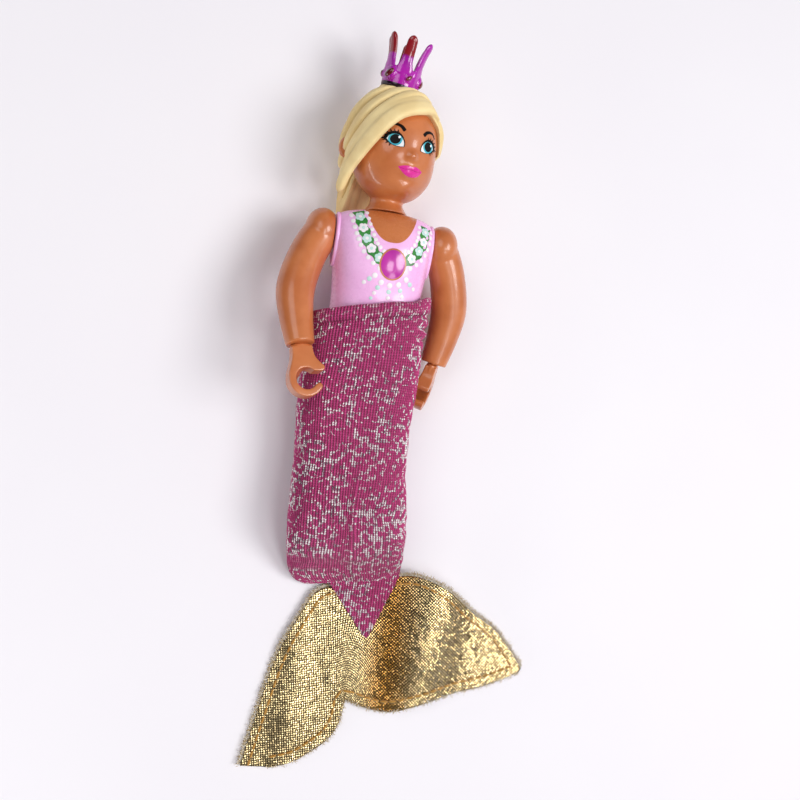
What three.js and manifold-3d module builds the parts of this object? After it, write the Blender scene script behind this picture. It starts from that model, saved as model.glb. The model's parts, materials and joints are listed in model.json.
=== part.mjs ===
import * as THREE from "three";
import { mergeVertices } from "three/addons/utils/BufferGeometryUtils.js";
import Module from "manifold-3d";

const wasm = await Module();
wasm.setup();

// A jointed doll in a slip-on mermaid tail, lying face up on a table. Lengths are in millimetres.
// X runs to the doll's left, Y up the body to the head, Z out of the table through the chest.
// The origin lies on the table under the hip axle.

const degrees = Math.PI / 180;

// Joint positions
const HIP_Z = 10.5;
const BODY_Z = 13;
const NECK_Y = 28.9;
const SHOULDER_X = 11.6;
const SHOULDER_Y = 23.3;
const KNEE_Y = -23;
const LEG_X = 6.1;

// Pose of the photographed doll
const HEAD_TURN = 14 * degrees;
const RIGHT_ARM_SWING = 13 * degrees;
const LEFT_ARM_SWING = -15 * degrees;
const RIGHT_HAND_TURN = 8 * degrees;
const LEFT_HAND_TURN = 66 * degrees;

// Fits
const GAP = 0.3;
const SEAM = 0.2;
const RUNNING_CLEARANCE = 0.12;
const WALL = 1.8;
const CLOTH = 0.8;
const ROD_SIDES = 16;

// Torso sections from waist to collar: height, centre depth, half width, front depth, back depth
const TORSO_BOTTOM = 5.1;
const TORSO_TOP = 28.6;
const TORSO_ROOF = 26.3;
const HIP_PLUG = 5.9;
const torsoRows = [
  [5.1, 12.0, 10.3, 7.0, 6.6],
  [10.0, 12.4, 10.3, 7.2, 6.6],
  [15.0, 12.9, 10.8, 8.0, 7.0],
  [20.0, 13.0, 11.4, 8.6, 7.3],
  [23.5, 13.0, 11.9, 7.9, 7.2],
  [26.4, 13.0, 11.5, 6.6, 6.4],
  [27.8, 13.0, 9.8, 5.6, 5.4],
  [28.6, 13.0, 6.0, 4.6, 4.6],
];

// Tail sections from the end seam to the waist: height, centre, half width, top, underside
const HEM_BOTTOM = 4.0;
const HEM_TOP = 7.4;
const HEM_SLANT = 0.2;
const TAIL_END = -58;
const END_SEAM = 3;
const END_CENTRE_X = 1.2;
const tailRows = [
  [TAIL_END, END_CENTRE_X, 11.6, 2.6, 0.0],
  [TAIL_END + END_SEAM, 1.0, 13.0, 6.0, -0.6],
  [TAIL_END + 8, 0.1, 13.5, 13.0, -0.8],
  [TAIL_END + 14, -0.5, 13.6, 18.4, -0.8],
  [KNEE_Y - 13, -0.9, 13.3, 18.0, -0.8],
  [KNEE_Y - 3, -1.2, 13.0, 17.8, -0.8],
  [KNEE_Y + 8, -1.5, 13.4, 18.8, -0.8],
  [-5, -1.1, 13.5, 20.2, -0.8],
  [3, -0.9, 13.3, 20.8, -0.4],
  [8, -0.8, 13.1, 20.8, 1.8],
];

// Fin outline in plan, as the leading and trailing edges of its two lobes. Each point is given from
// the middle of the end seam: across in parts of the span, and down in parts of the drop.
const FIN_SPAN = 70.4;
const FIN_DROP = 45.7;
const FIN_ROOT_X = 5.2;
const FIN_PLY = 0.45;
const FIN_MIDDLE = 0.6;
const RIDGE_X = 23;
const RIDGE_LEAN = 0.1;
const RIDGE_HEIGHT = 5.4;
const RIDGE_HALF_WIDTH = 6;
const RIPPLE_X = -8;
const RIPPLE_HEIGHT = 0.7;
const RIPPLE_HALF_WIDTH = 4;
const leadingEdges = [
  [[-0.348, 1], [-0.314, 0.759], [-0.254, 0.389], [-0.19, 0.175], [-0.142, 0.059], [0, -0.007]],
  [[0, -0.007], [0.116, -0.039], [0.196, -0.059], [0.274, -0.031], [0.342, 0.026], [0.435, 0.136], [0.538, 0.243], [0.652, 0.446]],
];
const trailingEdges = [
  [[-0.24, 1.01], [-0.148, 0.969], [-0.087, 0.911], [-0.039, 0.849], [-0.01, 0.76], [0, 0.65]],
  [[0, 0.65], [0.08, 0.689], [0.153, 0.697], [0.25, 0.65], [0.344, 0.615], [0.507, 0.561], [0.634, 0.487]],
];

// The tail's front point
const POINT_WIDTH = 15.2;
const POINT_LENGTH = 14.8;
const POINT_SWAY = 3.4;
const POINT_TIP_WIDTH = 1.6;

// Head, as an ovoid pushed out at each feature: place across and up, spread across and up, push
const HEAD_CENTRE = new THREE.Vector3(0, 15.5, 1.5);
const NECK_STEM = 2.6;
const NECK_FLANGE = 4.0;
const HEAD_RADII = new THREE.Vector3(10.0, 11.9, 10.6);
const JAW_TAPER = 0.14;
const HEAD_FACETS = [26, 18];
const EAR_CENTRE = new THREE.Vector3(10.4, -2.6, -2.4);
const EAR_RADII = new THREE.Vector3(1.8, 2.5, 1.4);
const NECK_LENGTH = 8;
const NECK_TOP = 3.5;
const NECK_BASE = 3.9;
const faceBumps = [
  [0, -4.8, 1.1, 1.2, 1.5],
  [0, -1.8, 0.9, 2.4, 0.5],
  [0, -8.0, 2.4, 1.2, 0.6],
  [0, -11.4, 2.6, 1.8, 1.5],
  [-5.4, -5.2, 2.6, 2.6, 0.7],
  [5.4, -5.2, 2.6, 2.6, 0.7],
  [-3.9, -1.7, 1.9, 1.4, -0.35],
  [3.9, -1.7, 1.9, 1.4, -0.35],
];

// Hair, with swept locks given by points around the head's centre
const HAIR_RADII = new THREE.Vector3(11.2, 13.1, 12.0);
const HAIR_SHIFT = new THREE.Vector3(0, 0.2, -0.3);
const HAIR_CAP_DROP = 8.5;
const HAIR_FACETS = [22, 14];
const HAIR_SEAT_Y = 27.9;
const HAIR_BACK_SPAN = 42 * degrees;
const FALL_STRANDS = 6;
const FALL_GROOVE = 0.3;
const hairline = [[9.2, -2.6], [7.6, 0.6], [4.6, 4.2], [0.2, 4.9], [-5.0, 2.4], [-8.4, -2.6], [-9.6, -7.0]];
const sweptLocks = [
  [[4.6, 6.4, 8.4], [-1.6, 6.2, 10.0], [-6.9, 3.4, 8.4], [-10.0, -2.0, 4.8], [-11.2, -7.6, 1.0], [-11.8, -12.6, -1.4]],
  [[4.2, 9.0, 6.8], [-2.6, 8.6, 8.2], [-7.9, 5.8, 6.6], [-10.6, 0.8, 3.0], [-11.3, -4.6, -0.6], [-11.0, -9.4, -3.2]],
  [[3.0, 11.2, 4.4], [-4.0, 10.4, 5.4], [-8.6, 7.2, 4.2], [-10.8, 2.6, 1.0], [-11.2, -2.6, -2.4]],
  [[5.0, 6.8, 7.8], [7.9, 4.2, 6.4], [9.8, 0.4, 4.2], [10.7, -3.0, 1.0]],
];

// Crown
const CROWN_RADIUS = 4.35;
const CROWN_WALL = 0.9;
const CROWN_STUD = 1.5;
const CROWN_STUD_LENGTH = 2.8;
const CROWN_Z = 0.8;
const CROWN_BAND = 4.2;
const CROWN_HEIGHT = 11.0;
const CROWN_PRONGS = 6;
const CROWN_TURN = -14 * degrees;
const CROWN_PITCH = 15 * degrees;
const CROWN_ROLL = -5 * degrees;
const CROWN_SEAT_RADIUS = 5.0;
const CROWN_SEAT_DEPTH = 4.5;
const PRONG_FLARE = 1.3;

// Arm centre line from the shoulder, with the radius at each point
const armLine = [
  [1.6, 0.4, 0, 4.2],
  [4.8, -5.4, -0.2, 4.2],
  [7.2, -14.4, -0.5, 4.3],
  [6.7, -21.0, 0, 3.8],
  [5.4, -27.6, 0.7, 3.15],
];
const WRIST_LEAN = 12 * degrees;
const SHOULDER_BALL = 4.8;
const ARM_STEM = 2.0;
const STEM_FLANGE = 2.6;
const STEM_LENGTH = 4;
const WRIST_PIN = 1.5;
const WRIST_PIN_LENGTH = 4;

// Hand in its own plane, with the grip ring below the wrist
const HAND_DEPTH = 5;
const HAND_EDGE = 0.45;
const GRIP_Y = -7.9;
const GRIP_INNER = 2.4;
const GRIP_OUTER = 3.9;

// Legs
const THIGH_HALF_WIDTH = 3.3;
const HIP_ROUND = 4.6;
const HIP_AXLE = 1.4;
const AXLE_CAP = 0.5;
const KNEE_ROUND = 3.6;
const KNEE_HALF_WIDTH = 3.1;
const KNEE_TONGUE = 1.3;
const KNEE_PIN = 0.9;
const SHIN_LENGTH = 24;
const FOOT_RADII = new THREE.Vector3(3.2, 3.6, 5.2);
const ANKLE_RISE = 3;

// Turns a closed geometry into a solid for joining and cutting.
const solid = (geometry) => {
  const bare = geometry.clone();
  bare.deleteAttribute("normal");
  bare.deleteAttribute("uv");
  const merged = mergeVertices(bare, 1e-4);
  return new wasm.Manifold(
    new wasm.Mesh({
      numProp: 3,
      vertProperties: new Float32Array(merged.attributes.position.array),
      triVerts: new Uint32Array(merged.index.array),
    }),
  );
};

const geometryOf = (form) => {
  const mesh = form.getMesh();
  const geometry = new THREE.BufferGeometry();
  geometry.setAttribute("position", new THREE.BufferAttribute(mesh.vertProperties, 3));
  geometry.setIndex(new THREE.BufferAttribute(mesh.triVerts, 1));
  return geometry;
};

const joined = (...forms) => forms.reduce((whole, form) => whole.add(form));
const cut = (form, ...tools) => tools.reduce((rest, tool) => rest.subtract(tool), form);

// Builds an indexed geometry and turns its faces outward.
const surface = (points, faces) => {
  let volume = 0;
  for (let i = 0; i < faces.length; i += 3) {
    const [a, b, c] = [points[faces[i]], points[faces[i + 1]], points[faces[i + 2]]];
    volume += a.dot(b.clone().cross(c));
  }
  const geometry = new THREE.BufferGeometry().setFromPoints(points);
  geometry.setIndex(volume > 0 ? faces : [...faces].reverse());
  return geometry;
};

const middle = (ring) =>
  ring.reduce((sum, point) => sum.add(point), new THREE.Vector3()).divideScalar(ring.length);

// Skins a row of closed rings and closes each end with a fan.
const loft = (rings) => {
  const count = rings[0].length;
  const points = [...rings.flat(), middle(rings[0]), middle(rings.at(-1))];
  const faces = [];
  const firstCentre = rings.length * count;
  const lastRow = firstCentre - count;
  for (let i = 0; i < count; i += 1) {
    const next = (i + 1) % count;
    for (let row = 0; row < lastRow; row += count) {
      faces.push(row + i, row + next, row + count + next);
      faces.push(row + i, row + count + next, row + count + i);
    }
    faces.push(firstCentre, next, i);
    faces.push(firstCentre + 1, lastRow + i, lastRow + next);
  }
  return surface(points, faces);
};

// A thin sheet between two matching grids of points, closed round its border.
const sheet = (top, bottom) => {
  const rows = top.length;
  const columns = top[0].length;
  const points = [...top.flat(), ...bottom.flat()];
  const faces = [];
  const under = rows * columns;
  const quad = (a, b, c, d) => faces.push(a, b, c, a, c, d);
  const at = (row, column) => row * columns + column;
  for (let row = 0; row < rows - 1; row += 1) {
    for (let column = 0; column < columns - 1; column += 1) {
      const [a, b] = [at(row, column), at(row, column + 1)];
      const [d, c] = [at(row + 1, column), at(row + 1, column + 1)];
      quad(a, b, c, d);
      quad(under + c, under + b, under + a, under + d);
    }
    quad(at(row + 1, 0), under + at(row + 1, 0), under + at(row, 0), at(row, 0));
    const edge = columns - 1;
    quad(at(row, edge), under + at(row, edge), under + at(row + 1, edge), at(row + 1, edge));
  }
  for (let column = 0; column < columns - 1; column += 1) {
    quad(at(0, column), under + at(0, column), under + at(0, column + 1), at(0, column + 1));
    const [a, b] = [at(rows - 1, column), at(rows - 1, column + 1)];
    quad(b, under + b, under + a, a);
  }
  return surface(points, faces);
};

// Smooth values between the rows of a table whose first column rises.
const through = (rows) => (station) => {
  const slope = (k, column) => {
    const before = rows[Math.max(k - 1, 0)];
    const after = rows[Math.min(k + 1, rows.length - 1)];
    return (after[column] - before[column]) / (after[0] - before[0]);
  };
  const above = rows.findIndex((row) => row[0] > station);
  const k = above < 0 ? rows.length - 2 : Math.max(above - 1, 0);
  const span = rows[k + 1][0] - rows[k][0];
  const t = (station - rows[k][0]) / span;
  const rise = t * t * (3 - 2 * t);
  return rows[k].map((start, column) => {
    const run = t * (1 - t) * ((1 - t) * slope(k, column) - t * slope(k + 1, column)) * span;
    return start + rise * (rows[k + 1][column] - start) + run;
  });
};

const stations = (from, to, steps) =>
  Array.from({ length: steps + 1 }, (_, i) => THREE.MathUtils.lerp(from, to, i / steps));

const rounded = (value, power) => Math.sign(value) * Math.abs(value) ** (2 / power);

// A level oval with its own depth to the front and to the back.
const oval = ({ x = 0, y, z, half, front, back, power = 2, count = 28 }) =>
  Array.from({ length: count }, (_, i) => {
    const angle = (2 * Math.PI * i) / count;
    const up = rounded(Math.sin(angle), power);
    const across = rounded(Math.cos(angle), power) * half;
    return new THREE.Vector3(x + across, y, z + up * (up > 0 ? front : back));
  });

// A limb or lock along a curve; each station gives its half width, half thickness and outward side.
const sweep = (points, steps, count, section) => {
  const curve = new THREE.CatmullRomCurve3(points);
  return loft(
    stations(0, 1, steps).map((t) => {
      const centre = curve.getPoint(t);
      const along = curve.getTangent(t);
      const { half, thick, outward } = section(t, centre);
      const out = outward.clone().projectOnPlane(along).normalize();
      const side = along.clone().cross(out);
      return Array.from({ length: count }, (_, i) => {
        const angle = (2 * Math.PI * i) / count;
        return centre
          .clone()
          .addScaledVector(side, half * Math.cos(angle))
          .addScaledVector(out, thick * Math.sin(angle));
      });
    }),
  );
};

const rodY = (radius, from, to, x = 0, z = 0) =>
  solid(new THREE.CylinderGeometry(radius, radius, to - from, ROD_SIDES).translate(x, (from + to) / 2, z));

const rodX = (radius, from, to, y = 0, z = 0) =>
  solid(
    new THREE.CylinderGeometry(radius, radius, to - from, ROD_SIDES)
      .rotateZ(Math.PI / 2)
      .translate((from + to) / 2, y, z),
  );

const block = ([x0, x1], [y0, y1], [z0, z1]) =>
  solid(
    new THREE.BoxGeometry(x1 - x0, y1 - y0, z1 - z0).translate((x0 + x1) / 2, (y0 + y1) / 2, (z0 + z1) / 2),
  );

const ellipsoid = (centre, radii, across = 28, up = 18) =>
  solid(
    new THREE.SphereGeometry(1, across, up)
      .scale(radii.x, radii.y, radii.z)
      .translate(centre.x, centre.y, centre.z),
  );

const piece = (name, form, colour) => {
  const geometry = form.isBufferGeometry ? form : geometryOf(form);
  const mesh = new THREE.Mesh(geometry, new THREE.MeshStandardMaterial({ color: colour }));
  mesh.name = name;
  return mesh;
};

const group = (name, ...members) => {
  const made = new THREE.Group();
  made.name = name;
  made.add(...members);
  return made;
};

const SKIN = 0xc6733f;
const PINK = 0xfec4f4;
const BLONDE = 0xf1d79d;
const PURPLE = 0xac24a6;
const KNIT = 0xb0527a;
const GOLD = 0xbba784;
const WHITE = 0xe8e4dc;
const STEEL = 0xb8b8bc;

// Torso: two hollow shells that meet on a side seam and trap the neck and shoulder stems
const torsoAt = through(torsoRows);
const torsoForm = (from, to, inset, steps) =>
  solid(
    loft(
      stations(from, to, steps).map((y) => {
        const [, z, half, front, back] = torsoAt(y);
        const shape = { half: half - inset, front: front - inset, back: back - inset };
        return oval({ y, z, ...shape, power: 2.3, count: 26 });
      }),
    ),
  );

const torsoShell = cut(
  torsoForm(TORSO_BOTTOM, TORSO_TOP, 0, 9),
  torsoForm(TORSO_BOTTOM - 1, TORSO_ROOF, WALL, 6),
  rodY(NECK_STEM + RUNNING_CLEARANCE, TORSO_ROOF - 1, TORSO_TOP + 1, 0, BODY_Z),
  rodX(ARM_STEM + RUNNING_CLEARANCE, -15, 15, SHOULDER_Y, BODY_Z),
  rodX(SHOULDER_BALL + GAP, SHOULDER_X - GAP, 15, SHOULDER_Y, BODY_Z),
  rodX(SHOULDER_BALL + GAP, -15, GAP - SHOULDER_X, SHOULDER_Y, BODY_Z),
);
const torsoFront = torsoShell.intersect(block([-20, 20], [0, 40], [BODY_Z + SEAM / 2, 30]));
const torsoBack = torsoShell.intersect(block([-20, 20], [0, 40], [0, BODY_Z - SEAM / 2]));

// Hip block: a plug in the waist with one lug between the thighs, on the axle that carries both legs
const lugHalf = LEG_X - THIGH_HALF_WIDTH - GAP;
const axleHalf = LEG_X + THIGH_HALF_WIDTH - AXLE_CAP - GAP;
const hipBlock = cut(
  joined(
    torsoForm(TORSO_BOTTOM + 0.1, TORSO_BOTTOM + HIP_PLUG, WALL + GAP, 3),
    rodX(HIP_ROUND, -lugHalf, lugHalf, 0, HIP_Z),
    block([-lugHalf, lugHalf], [0, TORSO_BOTTOM + HIP_PLUG / 3], [HIP_Z - HIP_ROUND * 0.6, HIP_Z + HIP_ROUND * 0.95]),
  ),
  rodX(HIP_AXLE + RUNNING_CLEARANCE, -LEG_X, LEG_X, 0, HIP_Z),
);
const hipAxle = rodX(HIP_AXLE, -axleHalf, axleHalf, 0, HIP_Z);

const torso = group(
  "torso_group",
  piece("torso_front_shell", torsoFront, PINK),
  piece("torso_back_shell", torsoBack, PINK),
  piece("hip_block", hipBlock, WHITE),
  piece("hip_axle", hipAxle, STEEL),
);

// Head: skull and neck in one moulding, on a stem that turns in the collar
const headPoint = (direction, offset) => {
  const grown = HEAD_RADII.clone().addScalar(offset);
  const point = direction.clone().multiply(grown);
  const low = Math.max(0, -direction.y);
  point.x *= 1 - JAW_TAPER * low * low;
  if (point.z > 0) {
    for (const [x, y, spreadX, spreadY, push] of faceBumps) {
      const away = ((point.x - x) / spreadX) ** 2 + ((point.y - y) / spreadY) ** 2;
      point.z += push * Math.exp(-away);
    }
  }
  return point.add(HEAD_CENTRE);
};

const skull = (offset, across, up) => {
  const geometry = new THREE.SphereGeometry(1, across, up);
  const position = geometry.attributes.position;
  for (let i = 0; i < position.count; i += 1) {
    const point = headPoint(new THREE.Vector3().fromBufferAttribute(position, i), offset);
    position.setXYZ(i, point.x, point.y, point.z);
  }
  return solid(geometry);
};

const ear = (side, grow) =>
  ellipsoid(
    HEAD_CENTRE.clone().add(new THREE.Vector3(side * EAR_CENTRE.x, EAR_CENTRE.y, EAR_CENTRE.z)),
    EAR_RADII.clone().addScalar(grow),
    10,
    7,
  );

const neckCone = solid(
  new THREE.CylinderGeometry(NECK_TOP, NECK_BASE, NECK_LENGTH, 24).translate(0, NECK_LENGTH / 2, 0),
);
const flangeTop = TORSO_ROOF - NECK_Y - 0.5;
const neckStem = rodY(NECK_STEM, flangeTop - 1, 0.5);
const neckFlange = rodY(NECK_FLANGE, flangeTop - 1.5, flangeTop);
const crownSeat = new THREE.Matrix4()
  .makeRotationFromEuler(new THREE.Euler(CROWN_PITCH, 0, CROWN_ROLL))
  .setPosition(0, HAIR_SEAT_Y, CROWN_Z);
const crownHole = solid(
  new THREE.CylinderGeometry(CROWN_STUD + RUNNING_CLEARANCE, CROWN_STUD + RUNNING_CLEARANCE, 8, ROD_SIDES)
    .applyMatrix4(crownSeat),
);
const head = cut(
  joined(skull(0, ...HEAD_FACETS), ear(1, 0), ear(-1, 0), neckCone, neckStem, neckFlange),
  crownHole,
);

// Hair: a cap over the skull, a fringe of swept locks and a flat fall behind the neck
const faceWindow = () => {
  const shape = new THREE.Shape();
  shape.moveTo(14, -18);
  shape.lineTo(14, -3);
  shape.lineTo(...hairline[0]);
  shape.splineThru(hairline.slice(1).map(([x, y]) => new THREE.Vector2(x, y)));
  shape.lineTo(-9.6, -18);
  const geometry = new THREE.ExtrudeGeometry(shape, { depth: 20, bevelEnabled: false, curveSegments: 14 });
  return solid(geometry.translate(HEAD_CENTRE.x, HEAD_CENTRE.y, HEAD_CENTRE.z));
};

const lock = (points) =>
  solid(
    sweep(
      points.map(([x, y, z]) => new THREE.Vector3(x, y, z).add(HEAD_CENTRE)),
      8,
      7,
      (t, centre) => ({
        half: 2.5 * Math.sin(Math.PI * (0.22 + 0.68 * t)),
        thick: 1.2 - 0.3 * t,
        outward: centre.clone().sub(HEAD_CENTRE),
      }),
    ),
  );

// Rows of the fall, given about the neck axis: height, inner radius, outer radius, half angle
const fallRows = [
  [-12.4, 11.6, 12.3, 0.6],
  [-11.0, 11.1, 12.9, 0.84],
  [-4, 11.0, 13.0, 0.9],
  [1, 10.6, 13.0, 1.0],
  [9, 8.6, 12.9, 0.9],
  [16, 7.6, 11.9, 0.7],
  [21, 6.4, 9.8, 0.45],
];
const hairFall = () => {
  const rowAt = through(fallRows);
  const arc = stations(-1, 1, 12);
  const rings = stations(fallRows[0][0], fallRows.at(-1)[0], 7).map((y) => {
    const [, inner, outer, width] = rowAt(y);
    const onArc = (radius, place) => {
      const angle = place * width * HAIR_BACK_SPAN;
      return new THREE.Vector3(radius * Math.sin(angle), y, -radius * Math.cos(angle));
    };
    const groove = (place) => FALL_GROOVE * (Math.abs(Math.sin(place * FALL_STRANDS * Math.PI * 0.5)) - 1);
    const outside = arc.map((place) => onArc(outer + groove(place), place));
    const inside = stations(1, -1, 4).map((place) => onArc(inner, place));
    return [...outside, ...inside];
  });
  return solid(loft(rings));
};

const hairCap = cut(
  ellipsoid(HEAD_CENTRE.clone().add(HAIR_SHIFT), HAIR_RADII, ...HAIR_FACETS),
  faceWindow(),
  block([-20, 20], [-20, HEAD_CENTRE.y - HAIR_CAP_DROP], [-20, 20]),
);
const crownMound = solid(
  new THREE.CylinderGeometry(CROWN_SEAT_RADIUS, CROWN_SEAT_RADIUS + 1, CROWN_SEAT_DEPTH, 24)
    .translate(0, -CROWN_SEAT_DEPTH / 2, 0)
    .applyMatrix4(crownSeat),
);
const aboveSeat = solid(new THREE.BoxGeometry(12, 16, 14).translate(0, 8, 1).applyMatrix4(crownSeat));
const hair = cut(
  joined(hairCap, crownMound, hairFall(), ...sweptLocks.map(lock)),
  skull(2 * GAP, 20, 14),
  ear(1, GAP),
  ear(-1, GAP),
  aboveSeat,
  crownHole,
);

// Crown: a flared band with tall round-ended prongs and a boss at the foot of each
const crownBand = solid(
  new THREE.LatheGeometry(
    [
      [0, 0],
      [CROWN_RADIUS, 0],
      [CROWN_RADIUS + 0.25, CROWN_BAND],
      [CROWN_RADIUS + 0.25 - CROWN_WALL, CROWN_BAND],
      [CROWN_RADIUS - CROWN_WALL, 0.9],
      [0, 0.9],
    ].map(([x, y]) => new THREE.Vector2(x, y)),
    24,
  ),
);

const prong = (angle) => {
  const rings = [-0.2, 0.2, 0.5, 0.8, 0.93, 1].map((rise) => {
    const y = THREE.MathUtils.lerp(CROWN_BAND, CROWN_HEIGHT, rise);
    const radius = CROWN_RADIUS + 0.2 - CROWN_WALL / 2 + PRONG_FLARE * Math.max(rise, 0) ** 2;
    const tip = Math.sqrt(Math.max(0.05, 1 - Math.max(0, (rise - 0.82) / 0.18) ** 2));
    const half = (1.75 - 0.45 * Math.max(rise, 0)) * tip;
    const thick = 0.45 + 0.12 * Math.max(rise, 0) * tip;
    return oval({ y, z: radius, half, front: thick, back: thick, power: 3, count: 6 });
  });
  return solid(loft(rings).rotateY(angle));
};

const boss = (angle) =>
  solid(
    new THREE.SphereGeometry(1, 7, 4)
      .scale(1.1, 1.25, 0.6)
      .translate(0, 2.4, CROWN_RADIUS + 0.1)
      .rotateY(angle),
  );

const prongAngles = Array.from(
  { length: CROWN_PRONGS },
  (_, i) => CROWN_TURN + (2 * Math.PI * i) / CROWN_PRONGS,
);
const crown = piece(
  "crown",
  joined(crownBand, rodY(CROWN_STUD, -CROWN_STUD_LENGTH, 0.5), ...prongAngles.map(prong), ...prongAngles.map(boss)),
  PURPLE,
);
crown.position.set(0, GAP, 0).applyMatrix4(crownSeat);
crown.rotation.setFromRotationMatrix(crownSeat);

const headGroup = group("head_group", piece("head", head, SKIN), piece("hair", hair, BLONDE), crown);
headGroup.position.set(0, NECK_Y, BODY_Z);
headGroup.rotation.y = HEAD_TURN;

// Arms: each one bent moulding with a trapped stem at the shoulder and a socket at the wrist
const wristPoint = new THREE.Vector3(...armLine.at(-1).slice(0, 3));
const wristFrame = (side) =>
  new THREE.Quaternion().setFromEuler(new THREE.Euler(0, 0, -side * WRIST_LEAN));

const armForm = (side) => {
  const points = armLine.map(([x, y, z]) => new THREE.Vector3(side * x, y, z));
  const radius = through(armLine.map((row, i) => [i / (armLine.length - 1), row[3]]));
  const limb = sweep(points, 10, 14, (t) => ({
    half: radius(t)[1],
    thick: radius(t)[1] * 0.97,
    outward: new THREE.Vector3(0, 0, 1),
  }));
  const ball = ellipsoid(
    new THREE.Vector3(side * 2.4, 0, 0),
    new THREE.Vector3(3.9, SHOULDER_BALL, SHOULDER_BALL),
    14,
    8,
  );
  const inward = side > 0 ? [-10, 0] : [0, 10];
  const stem = side > 0 ? [-STEM_LENGTH, 0.5] : [-0.5, STEM_LENGTH];
  const flange = side > 0 ? [-STEM_LENGTH, 1 - STEM_LENGTH] : [STEM_LENGTH - 1, STEM_LENGTH];
  const socket = new THREE.CylinderGeometry(WRIST_PIN + RUNNING_CLEARANCE, WRIST_PIN + RUNNING_CLEARANCE, 10, ROD_SIDES)
    .applyQuaternion(wristFrame(side))
    .translate(side * wristPoint.x, wristPoint.y, wristPoint.z);
  return joined(
    cut(joined(solid(limb), ball), block(inward, [-20, 20], [-20, 20]), solid(socket)),
    rodX(ARM_STEM, ...stem),
    rodX(STEM_FLANGE, ...flange),
  );
};

// The same outline in short straight steps, without repeated points.
const stepped = (shape, segments) =>
  new THREE.Shape(
    shape.getPoints(segments).filter((point, i, all) => point.distanceTo(all.at(i - 1)) > 0.01),
  );

// Hand: a flat gripping hand cut from one outline, with a pin up into the wrist
const handForm = (side) => {
  const shape = new THREE.Shape();
  shape.moveTo(-2.3, -2 * GAP);
  shape.lineTo(-2.35, -2.2);
  shape.bezierCurveTo(-2.5, -3.6, -GRIP_OUTER, -5.2, -GRIP_OUTER, GRIP_Y);
  shape.absarc(0, GRIP_Y, GRIP_OUTER, Math.PI, 1.8 * Math.PI, false);
  const fingertip = 1.8 * Math.PI;
  const pad = (GRIP_OUTER + GRIP_INNER) / 2;
  const padRadius = (GRIP_OUTER - GRIP_INNER) / 2;
  shape.absarc(
    pad * Math.cos(fingertip),
    GRIP_Y + pad * Math.sin(fingertip),
    padRadius,
    fingertip,
    fingertip + Math.PI,
    false,
  );
  shape.absarc(0, GRIP_Y, GRIP_INNER, fingertip, 0.22 * Math.PI, true);
  shape.lineTo(3.4, -6.4);
  shape.absarc(3.6, -5.7, 0.75, 1.5 * Math.PI, 2.3 * Math.PI, false);
  shape.bezierCurveTo(3.2, -4.2, 2.35, -3.4, 2.35, -2.0);
  shape.lineTo(2.3, -2 * GAP);
  const geometry = new THREE.ExtrudeGeometry(stepped(shape, 5), {
    depth: HAND_DEPTH - 2 * HAND_EDGE,
    bevelThickness: HAND_EDGE,
    bevelSize: HAND_EDGE,
    bevelOffset: -HAND_EDGE,
    bevelSegments: 1,
  });
  geometry.translate(0, 0, HAND_EDGE - HAND_DEPTH / 2);
  if (side > 0) geometry.rotateY(Math.PI);
  return joined(solid(geometry), rodY(WRIST_PIN, -1.5, WRIST_PIN_LENGTH));
};

const arm = (side, word, swing, handTurn) => {
  const hand = piece(`hand_${word}`, handForm(side), SKIN);
  hand.quaternion.copy(wristFrame(side));
  hand.rotateY(handTurn);
  hand.position.set(side * wristPoint.x, wristPoint.y, wristPoint.z);
  const made = group(`arm_${word}_group`, piece(`arm_${word}`, armForm(side), SKIN), hand);
  made.position.set(side * SHOULDER_X, SHOULDER_Y, BODY_Z);
  made.rotation.x = -swing;
  return made;
};

// Legs: thigh with a fork at the knee, shin with a tongue and the foot in one moulding
const legSections = (rows, steps) => {
  const rowAt = through(rows);
  const rings = stations(rows[0][0], rows.at(-1)[0], steps).map((y) => {
    const [, half, front, back] = rowAt(y);
    return oval({ y, z: 0, half, front, back, power: 2.4, count: 14 });
  });
  return solid(loft(rings));
};

// Leg sections: height, half width, front depth, back depth
const thighRows = [
  [KNEE_Y + 1, KNEE_HALF_WIDTH - 0.1, 3.7, 3.7],
  [KNEE_Y + 6, KNEE_HALF_WIDTH, 4.8, 4.8],
  [KNEE_Y + 15, THIGH_HALF_WIDTH, 5.5, 5.5],
  [0, THIGH_HALF_WIDTH - 0.1, HIP_ROUND, HIP_ROUND],
];
const kneeTop = KNEE_Y - KNEE_ROUND - 0.6;
const SOLE_Y = KNEE_Y - SHIN_LENGTH;
const shinRows = [
  [SOLE_Y + 2.5, 2.6, 2.8, 3.2],
  [SOLE_Y + 9, 2.8, 3.0, 3.6],
  [SOLE_Y + 16, 3.2, 3.9, 4.6],
  [kneeTop, 3.1, 3.4, 3.6],
];
const slotHalf = KNEE_TONGUE + GAP;
const kneePinHole = rodX(KNEE_PIN + RUNNING_CLEARANCE, -6, 6, KNEE_Y, 0);
const axleHole = (side) => {
  const blindEnd = THIGH_HALF_WIDTH - AXLE_CAP;
  const ends = side > 0 ? [-LEG_X, blindEnd] : [-blindEnd, LEG_X];
  return rodX(HIP_AXLE + RUNNING_CLEARANCE, ...ends);
};
const thighForm = (side) =>
  cut(
    joined(
      legSections(thighRows, 7),
      rodX(HIP_ROUND, -THIGH_HALF_WIDTH, THIGH_HALF_WIDTH),
      rodX(KNEE_ROUND, -KNEE_HALF_WIDTH, KNEE_HALF_WIDTH, KNEE_Y),
    ),
    block([-slotHalf, slotHalf], [KNEE_Y - 7, KNEE_Y + KNEE_ROUND + 1], [-10, 10]),
    kneePinHole,
    axleHole(side),
  );

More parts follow.
